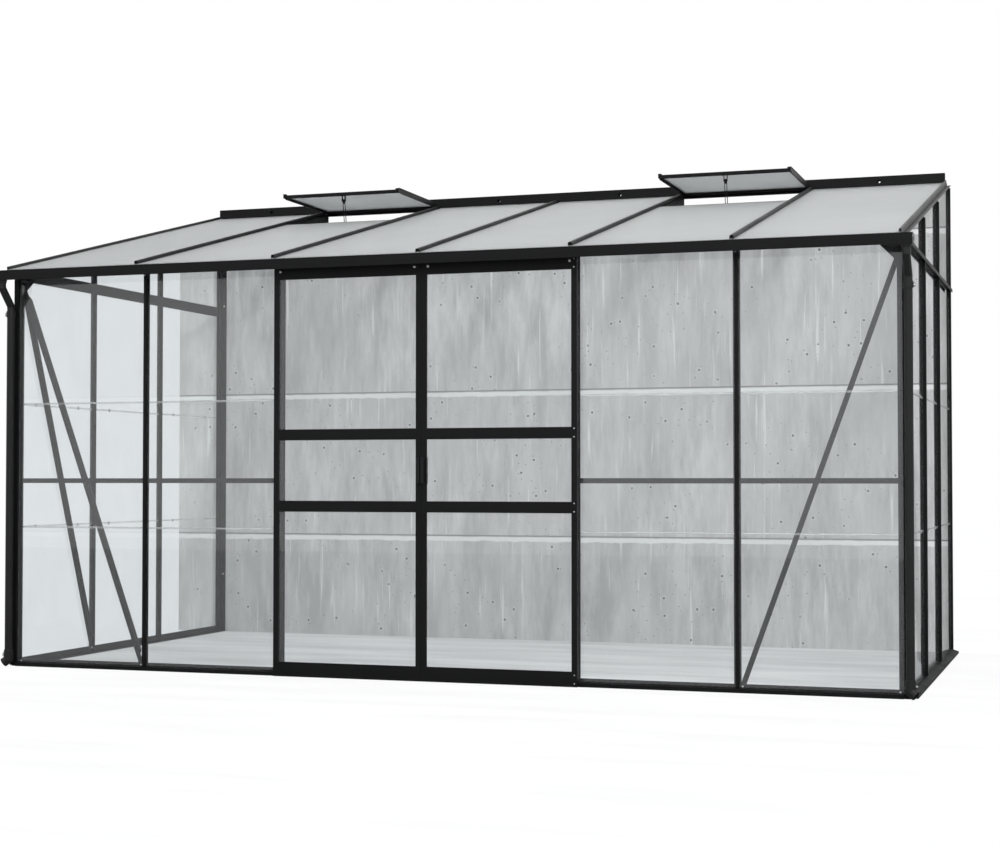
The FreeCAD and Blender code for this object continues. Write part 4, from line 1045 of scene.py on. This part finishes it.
def newPlane(name, corners, material):
    bpy.ops.object.select_all(action="DESELECT")
    bpy.ops.mesh.primitive_plane_add(size=1, location=(0, 0, 0))
    plane = bpy.context.object
    plane.name = name
    for vertex, corner in zip(plane.data.vertices, corners):
        vertex.co = corner
    plane.data.materials.append(material)
    return plane


# Pale floor
floorLook = {
    "front": -12.6,
    "back": 30.0,
    "half": 30.0,
    "turn": 12,                      # degrees, of the painted shadow bands
    "sweep": (0.9, 5.0, 1.0),
    "detail": 5,
    "bands": (0.35, 0.65),           # range of the noise
    # Tones of the painted shadow bands: the shaded band and the floor between
    "dark": (0.50, 0.506, 0.51),
    "light": (0.86, 0.865, 0.87),
    "rough": 0.6,
    # Floor colour seen only in reflections: painted shade
    "mirrored": (0.2, 0.205, 0.21),
    "glow": (1.1, 1.1, 1.1),
    "seenShare": 0.8,                # of plain white, seen by the camera
    "insideShare": 0.36,             # of backdrop glow seen through glass on the floor inside, painted light
}


def paleFloor(look):
    material, tree, shader, output = newMaterial("paleFloor")
    place = objectPlace(tree, -1300, 0)
    # Swept bands of darker tone across the floor: painted shadows of the frame
    swept = stretchPlace(tree, place, look["sweep"], -1100, 0, look["turn"])
    noise = noiseNode(tree, swept, 1.0, look["detail"], -700, 0)
    paintedShadowBands = mapRange(tree, noise, *look["bands"], 0.0, 1.0, -500, 100)
    tone = mixColour(tree, paintedShadowBands, look["dark"], look["light"], -300, 100)
    shader.inputs["Roughness"].default_value = look["rough"]
    ray = addNode(tree, "ShaderNodeLightPath", -300, 400)
    camera, through = ray.outputs["Is Camera Ray"], ray.outputs["Is Transmission Ray"]
    # Where glass and metal mirror the floor it takes a darker colour: painted shade in the reflection
    mirrored = mathNode(tree, "SUBTRACT", ray.outputs["Is Glossy Ray"], through, 0, 400)
    tone = mixColour(tree, mirrored, tone, look["mirrored"], 300, 100)
    tree.links.new(tone, shader.inputs["Base Color"])
    # Through glass the floor around the house looks like the backdrop. Inside the house it keeps part of
    # its shading and glows with the rest, painted light that brightens it
    split = addNode(tree, "ShaderNodeSeparateXYZ", -700, -300)
    tree.links.new(place, split.inputs[0])
    across = mathNode(tree, "ABSOLUTE", split.outputs["X"], 0, -500, -300)
    inside = mathNode(tree, "LESS_THAN", across, highCorner[0], -300, -300)
    glow = mixColour(tree, camera, lightSet["behind"], look["glow"], 300, -400)
    white = addNode(tree, "ShaderNodeEmission", 560, -400)
    tree.links.new(glow, white.inputs["Color"])
    seen = mathNode(tree, "MULTIPLY", camera, look["seenShare"], 560, 300)
    part = mapRange(tree, inside, 0, 1, 1.0, look["insideShare"], -100, -300)
    behind = mathNode(tree, "MULTIPLY", through, part, 560, 500)
    share = mathNode(tree, "MAXIMUM", seen, behind, 760, 300)
    showMix(tree, output, share, shader, white)
    return material


def makeFloor(look):
    half, front, back = look["half"], look["front"], look["back"]
    corners = ((-half, front, 0), (half, front, 0), (-half, back, 0), (half, back, 0))
    floor = newPlane("floor", corners, paleFloor(look))


makeFloor(floorLook)


# Concrete wall behind the glass
wallLook = {
    "left": -2.103,
    "right": 8.0,
    "top": 2.19,
    "plane": 0.9945,
    "rough": 0.85,
    "dark": (0.54, 0.536, 0.535),
    "light": (0.84, 0.835, 0.833),
    "patch": (0.67, 0.665, 0.664),
    # Pale scratches and joint ridges, and the painted highlight round the blow holes
    "white": (1.0, 1.0, 1.0),
    # Painted shade inside the blow holes
    "hole": (0.2, 0.2, 0.2),
    "line": (0.32, 0.322, 0.325),
    "streaks": (8.0, 8.0, 1.7),
    "threads": (60.0, 60.0, 2.4),
    "pits": ((7.0, 0.045), (15.0, 0.05)),     # scale and radius of both sizes
    "joints": (0.512, 1.234, 1.956),
    "ragged": 0.012,
    "ridgeBelow": 0.016,
    "ridgeHalf": (0.009, 0.014),
    "lineHalf": (0.002, 0.005),
    "bump": 0.004,
}


def castTone(tree, place, look):
    # Vertical streaks of the cast, broken by clouds and thin pale scratches
    cast = stretchPlace(tree, place, look["streaks"], -1300, 200)
    streak = noiseNode(tree, cast, 1.0, 8, -1100, 200, 0.72)
    light = mapRange(tree, streak, 0.38, 0.62, 0.0, 1.0, -900, 200)
    tone = mixColour(tree, light, look["dark"], look["light"], -650, 200)
    cloud = noiseNode(tree, place, 2.2, 7, -1100, -100)
    patch = mapRange(tree, cloud, 0.35, 0.65, 0.0, 0.6, -900, -100)
    tone = mixColour(tree, patch, tone, look["patch"], -450, 200)
    thread = stretchPlace(tree, place, look["threads"], -1300, 500)
    hair = noiseNode(tree, thread, 1.0, 4, -1100, 500)
    scratch = mapRange(tree, hair, 0.62, 0.72, 0.0, 0.8, -900, 500)
    return mixColour(tree, scratch, tone, look["white"], -350, 400), streak


def addPits(tree, place, split, tone, look):
    # Blow holes where a broad noise lets them be, drawn in colour only: the dark inside of each hole is
    # painted shade and its pale rim a painted highlight
    gate = noiseNode(tree, place, 3.0, 2, -1100, -600)
    some = mapRange(tree, gate, 0.46, 0.54, 0.0, 1.0, -900, -600)
    flat = addNode(tree, "ShaderNodeCombineXYZ", -1300, -350)
    tree.links.new(split.outputs["X"], flat.inputs["X"])
    tree.links.new(split.outputs["Z"], flat.inputs["Y"])
    for scale, size in look["pits"]:
        pit = addNode(tree, "ShaderNodeTexVoronoi", -1100, -350, voronoi_dimensions="2D")
        pit.inputs["Scale"].default_value = scale
        tree.links.new(flat.outputs[0], pit.inputs["Vector"])
        away = pit.outputs["Distance"]
        # A pale ring round each hole is a painted highlight on its lip, and a dark disc inside it is
        # painted shade
        rim = mapRange(tree, away, size * 1.3, size * 1.8, 0.7, 0.0, -900, -450)
        pitShadeMask = mapRange(tree, away, size * 0.8, size * 1.25, 1.0, 0.0, -900, -350)
        rim = mathNode(tree, "MULTIPLY", rim, some, -650, -500)
        pitShadeMask = mathNode(tree, "MULTIPLY", pitShadeMask, some, -650, -400)
        tone = mixColour(tree, rim, tone, look["white"], -150, 300)
        tone = mixColour(tree, pitShadeMask, tone, look["hole"], -150, 200)
    return tone


def addJoints(tree, place, split, tone, look):
    # A ragged pale ridge under a dark line at each pour joint
    rag = noiseNode(tree, place, 14.0, 5, -1300, -1050)
    shift = mapRange(tree, rag, 0.0, 1.0, -look["ragged"], look["ragged"], -1100, -1050)
    ridge = None
    line = None
    for level in look["joints"]:
        away = mathNode(tree, "SUBTRACT", split.outputs["Z"], level, -900, -850)
        low = mathNode(tree, "ADD", away, look["ridgeBelow"], -700, -850)
        ragged = mathNode(tree, "ADD", low, shift, -500, -850)
        side = mathNode(tree, "ABSOLUTE", ragged, 0, -300, -850)
        band = mapRange(tree, side, *look["ridgeHalf"], 1.0, 0.0, -100, -850)
        thin = mathNode(tree, "ABSOLUTE", away, 0, -700, -1100)
        mark = mapRange(tree, thin, *look["lineHalf"], 1.0, 0.0, -500, -1100)
        ridge = band if ridge is None else mathNode(tree, "MAXIMUM", ridge, band, 100, -850)
        line = mark if line is None else mathNode(tree, "MAXIMUM", line, mark, 100, -1100)
    tone = mixColour(tree, ridge, tone, look["white"], 150, 200)
    return mixColour(tree, line, tone, look["line"], 250, 200)


def concrete(look):
    material, tree, shader, output = newMaterial("concrete")
    shader.inputs["Roughness"].default_value = look["rough"]
    place = objectPlace(tree, -1500, 0)
    split = addNode(tree, "ShaderNodeSeparateXYZ", -1300, -850)
    tree.links.new(place, split.inputs[0])
    tone, streak = castTone(tree, place, look)
    tone = addPits(tree, place, split, tone, look)
    tone = addJoints(tree, place, split, tone, look)
    tree.links.new(tone, shader.inputs["Base Color"])
    addBump(tree, shader, streak, look["bump"], 350, -300)
    # Seen only through glass and from the front, so that the backdrop stays white
    ray = addNode(tree, "ShaderNodeLightPath", 300, 500)
    geometry = addNode(tree, "ShaderNodeNewGeometry", 300, 700)
    hide = mathNode(tree, "MAXIMUM", ray.outputs["Is Camera Ray"], geometry.outputs["Backfacing"], 560, 500)
    clear = addNode(tree, "ShaderNodeBsdfTransparent", 560, -400)
    showMix(tree, output, hide, shader, clear)
    return material


def makeWall(look):
    left, right, top, y = look["left"], look["right"], look["top"], look["plane"]
    corners = ((left, y, 0), (right, y, 0), (left, y, top), (right, y, top))
    wall = newPlane("backWall", corners, concrete(look))


makeWall(wallLook)
print("light, floor and wall set")
